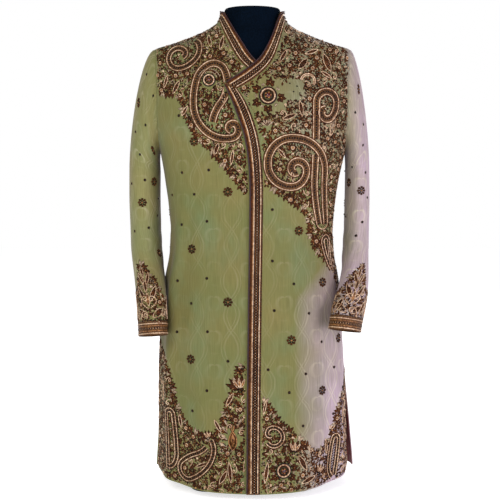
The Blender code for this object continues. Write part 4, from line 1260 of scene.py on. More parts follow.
class Needlework:
    """Cords, strips, beads and leaves on one board, gathered into one mesh."""

    def __init__(self, board):
        self.board = board
        self.points, self.faces, self.slots = [], [], []
        self.count = 0
        self.taken = [np.zeros((0, 3))]

    def put(self, points, faces, finish):
        """Adds copies of a shape: points is copies by corners by 3, faces are one copy's."""
        if len(points) == 0:
            return
        starts = self.count + np.arange(len(points)) * points.shape[1]
        self.points.append(points.reshape(-1, 3))
        self.faces += (faces[None] + starts[:, None, None]).reshape(-1, faces.shape[1]).tolist()
        self.slots.append(np.full(len(points) * len(faces), THREADS.index(finish)))
        self.count += points.shape[0] * points.shape[1]

    def take(self, spots, reach):
        """Notes that these spots are used, so that the filling leaves them free."""
        spots = np.atleast_2d(spots)
        self.taken.append(np.column_stack([spots, np.full(len(spots), reach)]))

    def tube(self, path, profile, finish, loop=False, edge=BOARD_EDGE):
        """Sweeps a profile along a path, wherever the path is on the cloth."""
        on = self.board.inside(path, edge)
        if loop and not on.all():
            return
        cuts = np.flatnonzero(np.diff(on.astype(int))) + 1
        for run, good in zip(np.split(path, cuts), np.split(on, cuts)):
            if not good[0] or len(run) < 3:
                continue
            point, normal = self.board.at(run)
            ends = [point[-1:], point, point[:1]] if loop else [point[:1], point, point[-1:]]
            wide = np.concatenate(ends)
            side = np.cross(unit(wide[2:] - wide[:-2]), normal)
            aside = side[:, None] * profile[None, :, :1]
            ring = point[:, None] + aside + normal[:, None] * profile[None, :, 1:]
            count, sides = len(run), len(profile)
            step = np.arange(count if loop else count - 1)[:, None]
            turn = np.arange(sides)[None, :]
            near, far = step * sides, ((step + 1) % count) * sides
            after = (turn + 1) % sides
            skin = np.stack([near + turn, far + turn, far + after, near + after], axis=-1)
            self.put(ring.reshape(1, -1, 3), skin.reshape(-1, 4), finish)
            if not loop:
                start = self.count - count * sides
                self.faces.append((start + np.arange(sides)).tolist())
                self.faces.append((self.count - 1 - np.arange(sides)).tolist())
                self.slots.append(np.full(2, THREADS.index(finish)))

    def cord(self, path, radius, finish=CORD, loop=False, edge=BOARD_EDGE):
        self.tube(path, CORD_PROFILE * radius, finish, loop, edge)

    def strip(self, path, width, height, finish=BROWN, loop=False):
        half, top = width / 2, width / 2 * 0.75
        profile = [[half, -STRIP_SUNK], [top, height], [-top, height], [-half, -STRIP_SUNK]]
        self.tube(path, np.array(profile), finish, loop)

    def beads(self, spots, radius, finish=DARK, lift=0.0):
        """Round beads: the radius is one value, or one for each bead."""
        spots = np.atleast_2d(spots)
        radius = np.broadcast_to(radius, len(spots))
        good = self.board.inside(spots)
        spots, radius = spots[good], radius[good][:, None, None]
        point, normal = self.board.at(spots)
        level = unit(np.cross([0.0, 0.0, 1.0], normal))
        axes = np.stack([level, np.cross(normal, level), normal], axis=1)
        shape = np.einsum("kj,nji->nki", BEAD, axes) * radius
        self.put(point[:, None] + shape + normal[:, None] * lift, BEAD_FACES, finish)

    def leaves(self, spots, headings, length, width, finish=BROWN, height=0.0013):
        """Padded leaves that start at their spots and point along their headings, in degrees."""
        spots = np.atleast_2d(spots)
        count = len(spots)
        turn = np.radians(np.broadcast_to(headings, count))[:, None]
        length = np.broadcast_to(length, count)[:, None]
        width = np.broadcast_to(width, count)[:, None]
        share = np.linspace(0, 1, LEAF_SIDE + 1)
        swell = np.sin(math.pi * share) * 0.5
        along = np.concatenate([share, share[1:-1][::-1], [0.55]])[None, :] * length
        aside = np.concatenate([-swell, swell[1:-1][::-1], [0.0]])[None, :] * width
        u = spots[:, :1] + along * np.cos(turn) - aside * np.sin(turn)
        v = spots[:, 1:] + along * np.sin(turn) + aside * np.cos(turn)
        flat = np.stack([u, v], axis=-1)
        good = self.board.inside(flat).all(axis=1)
        point, normal = self.board.at(flat[good])
        rim = point.shape[1] - 1
        rise = np.full(rim + 1, LEAF_RIM)
        rise[-1] = height
        under = point[:, -1:] - normal[:, -1:] * LEAF_SUNK
        points = np.concatenate([point + normal * rise[None, :, None], under], axis=1)
        after = (np.arange(rim) + 1) % rim
        top = np.stack([np.arange(rim), after, np.full(rim, rim)], axis=1)
        bottom = np.stack([after, np.arange(rim), np.full(rim, rim + 1)], axis=1)
        self.put(points, np.concatenate([top, bottom]), finish)

    def made(self, name):
        """The finished piece."""
        points = np.concatenate(self.points)
        piece = put_together(name, points.tolist(), self.faces, THREADS, np.concatenate(self.slots))
        sides = sum(len(face) - 2 for face in self.faces)
        print(name, "has", sides, "triangles")
        return keep(piece, "embroidered_border")


print("a bead has", len(BEAD_FACES), "faces and a cord", len(CORD_PROFILE), "sides")

# %% Paths
PATH_STEP = 0.0030


def walk(start, heading, arcs, hand=1, size=1.0, step=PATH_STEP):
    """A path that starts on a heading and follows arcs, each a length and a turn in degrees."""
    spots = [np.asarray(start, float)]
    heading = math.radians(heading)
    for length, turn in arcs:
        count = max(2, round(length * size / step))
        bend = math.radians(turn) * hand
        for number in range(count):
            way = heading + bend * (number + 0.5) / count
            stride = length * size / count
            spots.append(spots[-1] + stride * np.array([math.cos(way), math.sin(way)]))
        heading += bend
    return np.array(spots)


def evenly(path, spacing, start=0.5):
    """Spots at an even spacing along a path."""
    length = travelled(path)
    count = max(1, int(length[-1] / spacing))
    wanted = (np.arange(count) + start) * length[-1] / count
    return np.stack([np.interp(wanted, length, path[:, k]) for k in (0, 1)], axis=-1)


def beside(path, distance):
    """A path that runs beside another, to its left where the distance is over 0."""
    ahead = np.gradient(path, axis=0)
    ahead /= np.maximum(np.linalg.norm(ahead, axis=-1, keepdims=True), 1e-9)
    return path + np.stack([-ahead[:, 1], ahead[:, 0]], axis=-1) * distance


def circle(centre, radius, count=24):
    """A closed round path."""
    turn = np.linspace(0, 2 * math.pi, count, endpoint=False)
    return np.asarray(centre) + radius * np.stack([np.cos(turn), np.sin(turn)], axis=-1)


def facing(spots):
    """Heading of each spot on a path, in degrees."""
    ahead = np.gradient(spots, axis=0)
    return np.degrees(np.arctan2(ahead[:, 1], ahead[:, 0]))


print("a quarter circle of 5 cm:", len(walk((0, 0), 0, [(0.05, 90)])), "spots")

# %% [markdown]
# ## Motifs
# Traditional coat embroidery repeats a few motifs: a corded band with beads between its cords, a
# floret of beads, a star flower, a curl, and a round stone in rings with leaves round it.

# %% Bands and small motifs
BEAD_SPACING = 0.0057
OUTLINE_SHADOW_GAP = 0.0021
INNER_BEADS = 0.0046
EDGE_RADIUS = 0.0012
LEAF_CORD = 0.0009


def band(work, path, width, inner=1, skip=0):
    """A beaded strip between pale cords and brown outline cords, which are partly a painted shadow
    of the pale ones, with more beads along its inner side.
    """
    work.strip(path, width, 0.0007, GROUND)
    for side in (-1, 1):
        work.cord(beside(path, side * width / 2), EDGE_RADIUS)
        # Brown outline cords beside the pale ones, partly a painted shadow of them.
        work.cord(beside(path, side * (width / 2 + OUTLINE_SHADOW_GAP)), EDGE_RADIUS, BROWN)
    work.beads(evenly(path, BEAD_SPACING), 0.0026, DARK, 0.0005)
    work.beads(evenly(path, BEAD_SPACING, 1.0), 0.0009, COPPER, 0.0006)
    inside = beside(path, inner * (width / 2 + INNER_BEADS))[skip:]
    work.beads(evenly(inside, BEAD_SPACING), 0.0018, DARK)
    work.take(path, width / 2 + 0.0030)
    work.take(inside, 0.0022)


def polar(spot, heading, distance):
    """The spot this far from another on a heading."""
    way = math.radians(heading)
    return np.asarray(spot) + distance * np.array([math.cos(way), math.sin(way)])


def floret(work, spot, size=0.0112):
    """Eight brown beads round a dark ring and a copper heart."""
    work.beads(circle(spot, size * 0.72, 8), size * 0.27, BROWN)
    work.beads(circle(spot, size * 0.38, 6), size * 0.16, DARK, 0.0003)
    work.beads([spot], size * 0.24, COPPER, 0.0004)


def dot(work, spot):
    """One dark bead in a small ring of thread."""
    work.beads([spot], 0.0028, DARK)
    work.cord(circle(spot, 0.0030, 10), 0.0004, BROWN, loop=True)


def star(work, spot, size, turn, petals=6, petal=BROWN, heart=COPPER):
    """A small flower of pointed petals."""
    headings = turn + np.arange(petals) * 360 / petals
    way = np.radians(headings)
    starts = np.asarray(spot) + 0.18 * size * np.stack([np.cos(way), np.sin(way)], axis=-1)
    work.leaves(starts, headings, size * 0.85, size * 0.50, petal, 0.0011)
    work.beads([spot], size * 0.24, heart, 0.0003)


def curl(work, spot, heading, size, hand=1, finish=CORD, radius=0.0009):
    """A tendril that winds up."""
    arcs = [(0.9, 30), (0.9, 90), (0.7, 120), (0.5, 130), (0.3, 120)]
    work.cord(walk(spot, heading, arcs, hand, size, 0.0024), radius, finish)


def edged_leaf(work, spot, heading, length, width, bend, heart=BROWN):
    """A leaf with a corded outline and a padded heart."""
    for turn in (-bend, bend):
        side = walk(spot, heading + turn / 2, [(length * 1.04, -turn)])
        work.cord(side, LEAF_CORD)
        work.take(side[::2], 0.0030)
    foot = polar(spot, heading, length * 0.08)
    work.leaves([foot], [heading], length * 0.84, width, heart)


print("bands, florets, stars, curls and leaves are ready")

# %% [markdown]
# The large motifs are put together from the small ones. A stone is set in rings, a maple leaf is
# five leaves from one stem, and a tulip is a fan of leaves. The spiral bands are paths only.

# %% Large motifs
LOBES = ((0, 1.0), (44, 0.82), (-44, 0.82), (92, 0.62), (-92, 0.62))
# Each row: share of the stone's radius, spots, cord radius, finish
STONE_RINGS = (
    (1.0, 28, 0.0013, DARK), (0.80, 24, 0.0017, CORD), (0.64, 20, 0.0012, BROWN),
    (0.52, 16, 0.0011, DARK),
)


def ring_stone(work, spot, radius):
    """A red stone in rings of dark and pale cord."""
    work.strip(circle(spot, radius * 0.86, 24), radius * 0.20, 0.0008, BROWN, loop=True)
    for share, count, thickness, finish in STONE_RINGS:
        work.cord(circle(spot, radius * share, count), thickness, finish, loop=True)
    work.beads([spot], radius * 0.44, STONE, 0.0004)
    work.beads(circle(spot, radius * 0.30, 5), radius * 0.12, COPPER, radius * 0.30)
    work.take([spot], radius + 0.003)


def maple_leaf(work, spot, heading, size):
    """A leaf of five pointed lobes."""
    for turn, share in LOBES:
        work.leaves([spot], [heading + turn], size * share, size * 0.52, BROWN, 0.0014)
    work.beads([polar(spot, heading, size * 0.25)], size * 0.09, COPPER, 0.0014)
    work.take([polar(spot, heading, size * 0.3)], size * 0.8)


def stone_flower(work, spot, stone, gap, leaf, headings):
    """Maple leaves round a stone, with small pale leaves between them."""
    ring_stone(work, spot, stone)
    for heading, after in zip(headings, [*headings[1:], headings[0] + 360]):
        maple_leaf(work, polar(spot, heading, stone + gap), heading, leaf)
        middle = (heading + after) / 2
        foot = polar(spot, middle, stone + gap * 0.6)
        work.leaves([foot] * 2, [middle - 24, middle + 24], leaf * 0.5, leaf * 0.28, SILK)
    work.take([spot], stone + gap)


def tulip(work, spot, heading, size):
    """A fan of brown leaves behind three edged ones, on a beaded cup."""
    fan = heading + np.array([-62, -38, -14, 14, 38, 62])
    work.leaves([spot] * 6, fan, size, size * 0.30, BROWN, 0.0014)
    for way in (heading - 30, heading, heading + 30):
        foot = polar(spot, way, size * 0.12)
        edged_leaf(work, foot, way, size * 0.62, size * 0.16, 50, COPPER)
    work.beads(circle(spot, size * 0.13, 6), size * 0.06, DARK, 0.0010)
    work.take(circle(polar(spot, heading, size * 0.5), size * 0.25, 8), size * 0.30)


def vase(work, spot, size):
    """A gold flask with a brown heart, and feathers of pale leaves on both sides."""
    for hand in (-1, 1):
        side = walk(spot, 90 - 50 * hand, [(0.36, 50), (0.36, 40), (0.26, -44)], hand, size)
        work.cord(side, 0.0012, COPPER)
        work.cord(beside(side, 0.0020 * hand), 0.0009, BROWN)
        for share, turn in ((0.10, 66), (0.34, 50), (0.58, 36), (0.82, 24)):
            root = np.asarray(spot) + np.array([-hand * size * 0.17, size * share])
            work.leaves([root], [90 + hand * turn], size * 0.46, size * 0.12, SILK, 0.0013)
            work.leaves([root], [90 + hand * (turn + 18)], size * 0.38, size * 0.10, BROWN, 0.0012)
    work.leaves([polar(spot, 90, size * 0.05)], [90], size * 0.72, size * 0.26, COPPER, 0.0020)
    work.leaves([polar(spot, 90, size * 0.16)], [90], size * 0.42, size * 0.13, BROWN, 0.0026)
    work.take(circle(polar(spot, 90, size * 0.45), size * 0.18, 8), size * 0.20)


print("stones, maple leaves, tulips and the vase are ready")

# %% [markdown]
# ## Filling
# Between the large motifs the ground is filled with blossoms, stars, curls and leaves, close
# together but never even. A seeded scatter picks their spots, keeps them apart and away from what
# is already sewn, and so gives the same result each time.

# %% Scatter
BATCH = 500


def apart_by(spots, others):
    """Distance from each spot to each of the others."""
    return np.hypot(spots[:, None, 0] - others[None, :, 0], spots[:, None, 1] - others[None, :, 1])


def within(spots, corners):
    """Which spots lie inside a closed outline."""
    u, v = spots[:, 0], spots[:, 1]
    odd = np.zeros(len(spots), bool)
    for (u0, v0), (u1, v1) in zip(corners, np.roll(corners, -1, axis=0)):
        crossing = (v0 > v) != (v1 > v)
        slope = (u1 - u0) / (v1 - v0 if v1 != v0 else 1e-9)
        odd ^= crossing & (u < u0 + (v - v0) * slope)
    return odd


def spread(tried, apart):
    """Keeps those spots that are at least so far from the ones kept before."""
    kept, cells = [], {}
    for spot in tried:
        column_at, row_at = int(spot[0] // apart), int(spot[1] // apart)
        around = [(column_at + i, row_at + j) for i in (-1, 0, 1) for j in (-1, 0, 1)]
        if all(math.dist(spot, other) > apart for cell in around for other in cells.get(cell, [])):
            kept.append(spot)
            cells.setdefault((column_at, row_at), []).append(spot)
    return np.array(kept).reshape(-1, 2)


def scattered(work, corners, apart, seed, keep_clear=0.0):
    """Spots inside an outline, at least so far apart and clear of what is sewn."""
    chance = np.random.default_rng(seed)
    low, high = corners.min(axis=0), corners.max(axis=0)
    tries = int(6 * (high - low).prod() / apart**2)
    tried = low + chance.random((tries, 2)) * (high - low)
    tried = tried[within(tried, corners) & work.board.inside(tried, 0.003)]
    taken = np.concatenate(work.taken)
    free = []
    for part in np.array_split(tried, max(1, len(tried) // BATCH)):
        free.append(part[(apart_by(part, taken) > taken[None, :, 2] + keep_clear).all(axis=1)])
    return spread(np.concatenate(free), apart)


print("the scatter tries its spots", BATCH, "at a time")

# %% Filling
def blossom(work, spot, size, turn):
    """A flower of seven brown petals with a corded heart."""
    star(work, spot, size, turn, 7)
    work.cord(circle(spot, size * 0.34, 10), 0.0009, CORD, loop=True)


def spray(work, spot, size, turn, hand):
    """A pale curl that two brown leaves grow from."""
    start = polar(spot, turn, -size * 0.9)
    curl(work, start, turn, size * 0.85, hand, CORD, 0.0010)
    headings = [turn - 50 * hand, turn - 80 * hand]
    work.leaves([start, spot], headings, size, size * 0.42, BROWN, 0.0014)


def small_filling(work, spot, kind, turn, size):
    """One small motif: which, is up to a number from 0 to 1."""
    start = polar(spot, turn, -size)
    if kind < 0.30:
        work.leaves([start, start], [turn - 16, turn + 28], size * 2.0, size * 0.80, BROWN)
        work.beads([start], size * 0.18, COPPER, 0.0006)
    elif kind < 0.50:
        star(work, spot, size * 1.15, turn)
    elif kind < 0.64:
        curl(work, start, turn, size * 0.72, 1 if kind < 0.57 else -1)
    elif kind < 0.76:
        work.leaves([start], [turn], size * 2.0, size * 0.72, SILK)
        work.leaves([start], [turn + 46], size * 1.6, size * 0.66, BROWN)
    elif kind < 0.90:
        work.leaves([start] * 3, [turn - 48, turn, turn + 48], size * 1.7, size * 0.66, BROWN)
        work.beads([start], size * 0.22, CORD, 0.0004)
    else:
        star(work, spot, size, turn, 5, SILK, DARK)


def fill(work, corners, seed, apart=0.0084):
    """Fills an outline: flat brown stitches, partly couching and partly painted shade between the
    motifs; large flowers and sprays; small motifs; then beads.
    """
    chance = np.random.default_rng(seed)
    # Flat brown stitches under everything: partly couching, partly painted shade that darkens the
    # gaps between motifs.
    under = scattered(work, corners, 0.0056, seed + 3)
    work.leaves(under, chance.random(len(under)) * 360, 0.0097, 0.0048, BROWN, 0.0004)
    for spot in scattered(work, corners, 0.024, seed + 2, 0.007):
        kind, turn = chance.random(), chance.random() * 360
        if kind < 0.5:
            blossom(work, spot, 0.0105, turn)
        else:
            spray(work, spot, 0.0125, turn, 1 if kind < 0.75 else -1)
        work.take([spot], 0.0085)
    for spot in scattered(work, corners, apart, seed, apart * 0.34):
        size = apart * (0.64 + 0.16 * chance.random())
        small_filling(work, spot, chance.random(), chance.random() * 360, size)
        work.take([spot], apart * 0.40)
    seeds = scattered(work, corners, apart * 0.38, seed + 1)
    for number, (finish, radius) in enumerate(((DARK, 0.0015), (CORD, 0.0010), (COPPER, 0.0012))):
        work.beads(seeds[number::3], radius, finish)


def fringe(work, path, seed, outward=1):
    """Pointed leaves and stars along the free edge of a filled place."""
    chance = np.random.default_rng(seed)
    spots = evenly(path, 0.0092)
    headings = facing(spots) + 90 * outward
    for number, (spot, heading) in enumerate(zip(spots, headings)):
        lean = (chance.random() - 0.5) * 60
        size = 0.0080 + 0.0050 * chance.random()
        if number % 4 == 3:
            star(work, polar(spot, heading, 0.001), size * 0.80, lean)
        else:
            finish = SILK if number % 4 == 1 else BROWN
            foot = polar(spot, heading + 180, 0.005)
            way = heading + lean
            work.leaves([foot, foot], [way, way + 34], size * 1.6, size * 0.62, finish)
            work.beads([polar(spot, way, size * 0.2)], 0.0010, COPPER, 0.0011)


print("filling ready")

# %% [markdown]
# ## Border and collar work
# The stiff band has, from its seam to its free edge, a row of dark beads, a pale cord, a beaded
# strip, two more pale cords, brown cords, and dark maroon piping over the raw edge. The same
# order runs up the front and round the neck.

# %% Band work
def line_at(board, share):
    """A path along a band, at a share of its width from the seam."""
    up = np.arange(board.up[0], board.up[-1], PATH_STEP)
    seam, free = np.interp(up, board.up, board.left), np.interp(up, board.up, board.right)
    return np.stack([mix(seam, free, share), up], axis=-1)


# Each row: share of the width from the seam, radius, finish
BAND_CORDS = (
    (0.110, 0.0010, BROWN), (0.170, 0.0013, CORD), (0.235, 0.0011, DARK), (0.600, 0.0011, DARK),
    (0.665, 0.0013, CORD), (0.735, 0.0009, COPPER), (0.800, 0.0012, BROWN), (0.870, 0.0014, BROWN),
)
PIPING_INSET = 0.0006


def trim_band(board, name, seam_bead):
    """Cords, beads and piping along a stiff band."""
    work = Needlework(board)
    work.strip(line_at(board, 0.42), 0.0100, 0.0006, BROWN)
    for share, radius, finish in BAND_CORDS:
        work.cord(line_at(board, share), radius, finish)
    middle = line_at(board, 0.42)
    work.beads(evenly(middle, BEAD_SPACING), 0.0022, DARK, 0.0004)
    work.beads(evenly(middle, BEAD_SPACING, 1.0), 0.0012, CORD, 0.0008)
    for share in (0.315, 0.525):
        line = line_at(board, share)
        work.beads(evenly(line, BEAD_SPACING), 0.0011, COPPER, 0.0005)
        work.beads(evenly(line, BEAD_SPACING, 1.0), 0.0012, BROWN, 0.0004)
    work.beads(evenly(line_at(board, 0.055), BEAD_SPACING), seam_bead, DARK)
    free = line_at(board, 1.0)
    free[:, 0] -= PIPING_INSET
    work.cord(free, 0.0017, PIPING, edge=0.0)
    return work.made(name)


border_work = trim_band(border_board, "front_border_work", 0.0016)
collar_work = trim_band(collar_board, "collar_work", 0.0008)

# %% [markdown]
# ## Left chest
# On the chest of the overlapping front, a stone flower sits beside the collar. A large spiral band
# fills the lower half, and its tail runs down the side. A hooked band like a walking cane stands
# between the two. Stars, curls and leaves fill what is left, up to the shoulder and the armhole.

# %% Placing motifs
def sew(motif, work, *rows):
    """Sews a motif at each row's x and height, as the rest of the row says."""
    for x, z, *rest in rows:
        motif(work, work.board.spot(x, z), *rest)


def parted(path, other, distance):
    """The stretches of a path that stay clear of another path, which crosses over it."""
    clear = apart_by(path, other).min(axis=1) > distance
    cuts = np.flatnonzero(np.diff(clear.astype(int))) + 1
    return [run for run, good in zip(np.split(path, cuts), np.split(clear, cuts)) if good[0]]


print("motifs are sewn on by x and height, as the photograph shows them")

# %% Left front work
left_work = Needlework(left_board)
stone_at = left_board.spot(0.035, 0.889)
stone_flower(left_work, stone_at, 0.0190, 0.0060, 0.0165, (80, 150, 212, 270, 350))
left_work.take([stone_at], 0.043)
left_work.beads(left_board.outline(
    (0.078, 0.935), (0.092, 0.932), (0.107, 0.926), (0.084, 0.917), (0.099, 0.911),
    (0.091, 0.898), (0.105, 0.893), (0.081, 0.878), (0.096, 0.878), (0.110, 0.876),
), 0.0019)
left_work.take([left_board.spot(0.092, 0.905)], 0.026)
print("stone flower sewn, with a group of beads beside it")

# %% Spiral and cane
TAIL_SPOTS = 49
CHEST_BAND = 0.0150
TIP_BULGE = 1.21
spiral = walk(left_board.spot(0.167, 0.604), 100, [
    (0.1165, -9), (0.030, 22), (0.068, 50), (0.030, 18), (0.168, 180), (0.054, 90), (0.034, 90),
    (0.030, 120), (0.014, 100),
])
band(left_work, spiral, CHEST_BAND, 1, TAIL_SPOTS)
cane = walk(left_board.spot(0.152, 0.604), 107, [
    (0.1165, -17), (0.157, 0), (0.078, -180), (0.034, -40), (0.034, -130), (0.016, -110),
])
for run in parted(cane, spiral, 0.0105):
    band(left_work, run, 0.0140, -1)
tip_width = np.linalg.norm(spiral[0] - cane[0]) + CHEST_BAND
tip = walk(cane[0] - (0.0075, 0.0), -60, [(tip_width * TIP_BULGE, 120)])
left_work.cord(tip, EDGE_RADIUS)
# Brown outline cord beside the pale one, partly a painted shadow of it.
left_work.cord(beside(tip, -OUTLINE_SHADOW_GAP), EDGE_RADIUS, BROWN)
tip_beads = evenly(beside(tip, 0.0052), BEAD_SPACING)
left_work.beads(tip_beads, 0.0016, DARK)
left_work.take(tip, 0.0045)
left_work.take(tip_beads, 0.0030)
between_bands = walk(left_board.spot(0.1597, 0.640), 100, [(0.085, -6)])
left_work.beads(evenly(between_bands, BEAD_SPACING), 0.0018, DARK)
left_work.take(between_bands, 0.0026)
hip_paisley = walk(left_board.spot(0.180, 0.500), 122, [(0.066, -16), (0.036, -190), (0.066, 0)])
band(left_work, hip_paisley, 0.0085, -1)
print("the spiral's path has", len(spiral), "spots and the cane's", len(cane))

# %% Leaves and filling of the left chest
sew(star, left_work, (0.163, 0.862, 0.010, 0, 5, BROWN, CORD))
sew(
    edged_leaf, left_work,
    (0.104, 0.948, 50, 0.034, 0.013, 80),
    (0.068, 0.838, 20, 0.032, 0.012, 60),
    (0.112, 0.842, 100, 0.036, 0.011, -50),
    (0.062, 0.965, 60, 0.034, 0.011, 50),
    (0.120, 0.985, 20, 0.034, 0.011, 50),
    (0.178, 0.930, 150, 0.030, 0.012, -50),
    (0.092, 0.700, 100, 0.026, 0.010, 50),
    (0.074, 0.752, 130, 0.026, 0.010, -50),
)
sew(edged_leaf, left_work, (0.184, 0.846, 262, 0.044, 0.014, 60, SILK))
sew(edged_leaf, left_work, (0.176, 0.945, 112, 0.046, 0.024, -70))
crescent = walk(left_board.spot(0.108, 0.925), 78, [(0.030, -95), (0.030, -110)])
left_work.cord(crescent, 0.0015)
left_work.cord(beside(crescent, -0.0034), 0.0013)
left_work.cord(beside(crescent, 0.0026), 0.0012, BROWN)
left_work.take(crescent, 0.004)
feather_at = left_board.spot(0.034, 0.822)
left_work.leaves([feather_at] * 5, [36, 68, 96, 124, 152], 0.019, 0.0062, SILK)
left_work.leaves([feather_at] * 4, [52, 82, 110, 138], 0.014, 0.0050, BROWN)
left_work.take([feather_at], 0.012)
sew(maple_leaf, left_work, (0.040, 0.786, 80, 0.0150), (0.122, 0.800, 120, 0.0130))
LEFT_CHEST = (
    (0.030, 0.700), (0.025, 0.800), (0.000, 0.860), (-0.028, 0.905), (0.010, 0.930),
    (0.036, 0.950), (0.052, 0.985), (0.058, 1.020), (0.066, 1.066), (0.120, 1.052), (0.170, 1.030),
    (0.216, 1.000), (0.217, 0.880), (0.214, 0.760), (0.200, 0.640), (0.200, 0.560),
    (0.206, 0.450), (0.198, 0.450), (0.186, 0.500), (0.164, 0.530), (0.142, 0.552), (0.134, 0.580),
    (0.128, 0.622), (0.108, 0.648), (0.070, 0.668), (0.048, 0.690),
)
chest_edge = left_board.outline(*LEFT_CHEST)
fill(left_work, chest_edge, 11)
sew(
    maple_leaf, left_work,
    (0.141, 0.580, 262, 0.0120), (0.152, 0.561, 250, 0.0120), (0.130, 0.604, 250, 0.0100),
)
lower_edge = left_board.outline(*LEFT_CHEST[-9:], (0.030, 0.700))
fringe(left_work, lower_edge, 12)
sew(
    floret, left_work,
    (0.105, 0.592), (0.087, 0.352), (0.157, 0.233), (0.160, 0.474), (0.197, 0.346),
)
sew(
    dot, left_work,
    (0.045, 0.638), (0.045, 0.525), (0.094, 0.474), (0.049, 0.418), (0.128, 0.409),
    (0.157, 0.342), (0.036, 0.287), (0.120, 0.277), (0.186, 0.281), (0.082, 0.238),
    (0.207, 0.230), (0.114, 0.161), (0.184, 0.176), (0.150, 0.103),
)
print("left chest:", len(chest_edge), "corners filled")

# %% [markdown]
# The foot of the left front has its own group: a paisley with a curled tip beside the border, a
# stone flower low down, and a slim paisley that leans into the corner at the slit.

# %% Foot of the left front
paisley = walk(left_board.spot(0.034, 0.130), -60, [
    (0.024, 80), (0.032, 90), (0.028, 75), (0.020, 90), (0.012, 120),
])
band(left_work, paisley, 0.0070)
sew(maple_leaf, left_work, (0.056, 0.134, 80, 0.0080))
low_stone = left_board.spot(0.071, 0.066)
stone_flower(left_work, low_stone, 0.0165, 0.0040, 0.0150, (15, 70, 118, 170, 215, 320))
slim = walk(left_board.spot(0.186, 0.040), 78, [(0.080, 6), (0.026, 170), (0.060, 10), (0.030, 50)])
band(left_work, slim, 0.0080)
sew(tulip, left_work, (0.092, 0.106, 80, 0.030), (0.150, 0.052, 70, 0.026))
left_work.leaves([left_board.spot(0.060, 0.034)] * 4, [200, 235, 300, 340], 0.020, 0.0080, SILK)
sew(
    edged_leaf, left_work,
    (0.026, 0.190, 78, 0.034, 0.010, 30),
    (0.122, 0.062, 118, 0.040, 0.013, -60),
    (0.028, 0.040, 82, 0.046, 0.013, -40),
    (0.110, 0.036, 20, 0.036, 0.012, 60),
    (0.168, 0.090, 95, 0.034, 0.010, 40),
    (0.206, 0.150, 82, 0.040, 0.010, 30),
)
LEFT_FOOT = (
    (0.021, 0.225), (0.040, 0.205), (0.060, 0.170), (0.090, 0.145), (0.118, 0.120),
    (0.148, 0.092), (0.172, 0.115), (0.190, 0.160), (0.206, 0.212), ("right", 0.270),
    ("right", 0.030), (0.150, 0.020), (0.080, 0.015), (0.018, 0.012),
)
foot_edge = left_board.outline(*LEFT_FOOT)
fill(left_work, foot_edge, 13)
fringe(left_work, foot_edge[:10], 14)
left_front_work = left_work.made("left_front_work")

# %% [markdown]
# ## Right front work
# The right front shows beside the border. A large teardrop band curls against the lapel with a
# stone flower in its bulb, a small lying spiral fills the shoulder, and the filling narrows down to
# the border. Below, one strip climbs the slit, and paisleys and a vase of leaves stand at the hem.

# %% Right front work
right_work = Needlework(right_board)
teardrop = walk(right_board.spot(-0.085, 0.832), 80, [
    (0.045, -28), (0.080, 64), (0.044, 96), (0.042, 42), (0.055, 18), (0.044, 30), (0.040, 30),
    (0.046, 40), (0.034, 110), (0.022, 120), (0.012, 110),
])
band(right_work, teardrop, 0.0140)
eye = right_board.spot(-0.094, 0.924)
ring_stone(right_work, eye, 0.0140)
for distance, finish in ((0.0185, SILK), (0.0215, BROWN), (0.0250, SILK)):
    right_work.cord(circle(eye, distance, 36)[2:17], 0.0009, finish)
right_work.take([eye], 0.020)
sew(maple_leaf, right_work, (-0.094, 0.892, 268, 0.0150))
right_work.leaves([right_board.spot(-0.097, 0.868)] * 2, [255, 285], 0.024, 0.0070, BROWN)
shoulder_spiral = walk(right_board.spot(-0.128, 1.016), -10, [
    (0.022, -70), (0.028, -45), (0.045, -45), (0.036, -80), (0.028, -70), (0.032, -80),
    (0.020, -120),
])
band(right_work, shoulder_spiral, 0.0105, -1)
sew(
    edged_leaf, right_work,
    (-0.160, 0.925, 240, 0.034, 0.013, 60),
    (-0.070, 0.992, 80, 0.034, 0.012, -50),
    (-0.090, 1.000, 110, 0.034, 0.012, 50),
    (-0.140, 0.868, 235, 0.026, 0.011, 60),
    (-0.072, 0.786, 250, 0.030, 0.012, 60),
    (-0.040, 0.772, 262, 0.034, 0.012, -40),
    (-0.188, 0.940, 250, 0.032, 0.012, -50),
    (-0.060, 0.870, 96, 0.030, 0.009, 40),
)
RIGHT_CHEST = (
    (-0.209, 0.901), (-0.180, 0.896), (-0.153, 0.882), (-0.146, 0.845), (-0.116, 0.796),
    (-0.074, 0.756), (-0.050, 0.730), (-0.030, 0.700), (-0.008, 0.676), (-0.008, 0.740),
    (-0.020, 0.800), (-0.045, 0.870), (-0.060, 0.914), (-0.015, 0.955), (-0.030, 0.985),
    (-0.058, 1.020), (-0.066, 1.066), (-0.110, 1.056), (-0.170, 1.032), (-0.215, 1.000),
)
chest_edge = right_board.outline(*RIGHT_CHEST)
fill(right_work, chest_edge, 21)
fringe(right_work, chest_edge[:9], 22, -1)
sew(
    floret, right_work,
    (-0.127, 0.788), (-0.052, 0.678), (-0.133, 0.549), (-0.052, 0.436), (-0.135, 0.307),
)
sew(
    dot, right_work,
    (-0.160, 0.845), (-0.155, 0.719), (-0.094, 0.726), (-0.128, 0.673), (-0.157, 0.604),
    (-0.099, 0.611), (-0.180, 0.669), (-0.099, 0.485), (-0.135, 0.430), (-0.166, 0.478),
    (-0.167, 0.363), (-0.098, 0.369), (-0.052, 0.307), (-0.098, 0.241), (-0.132, 0.192),
)
print("right chest:", len(chest_edge), "corners filled")

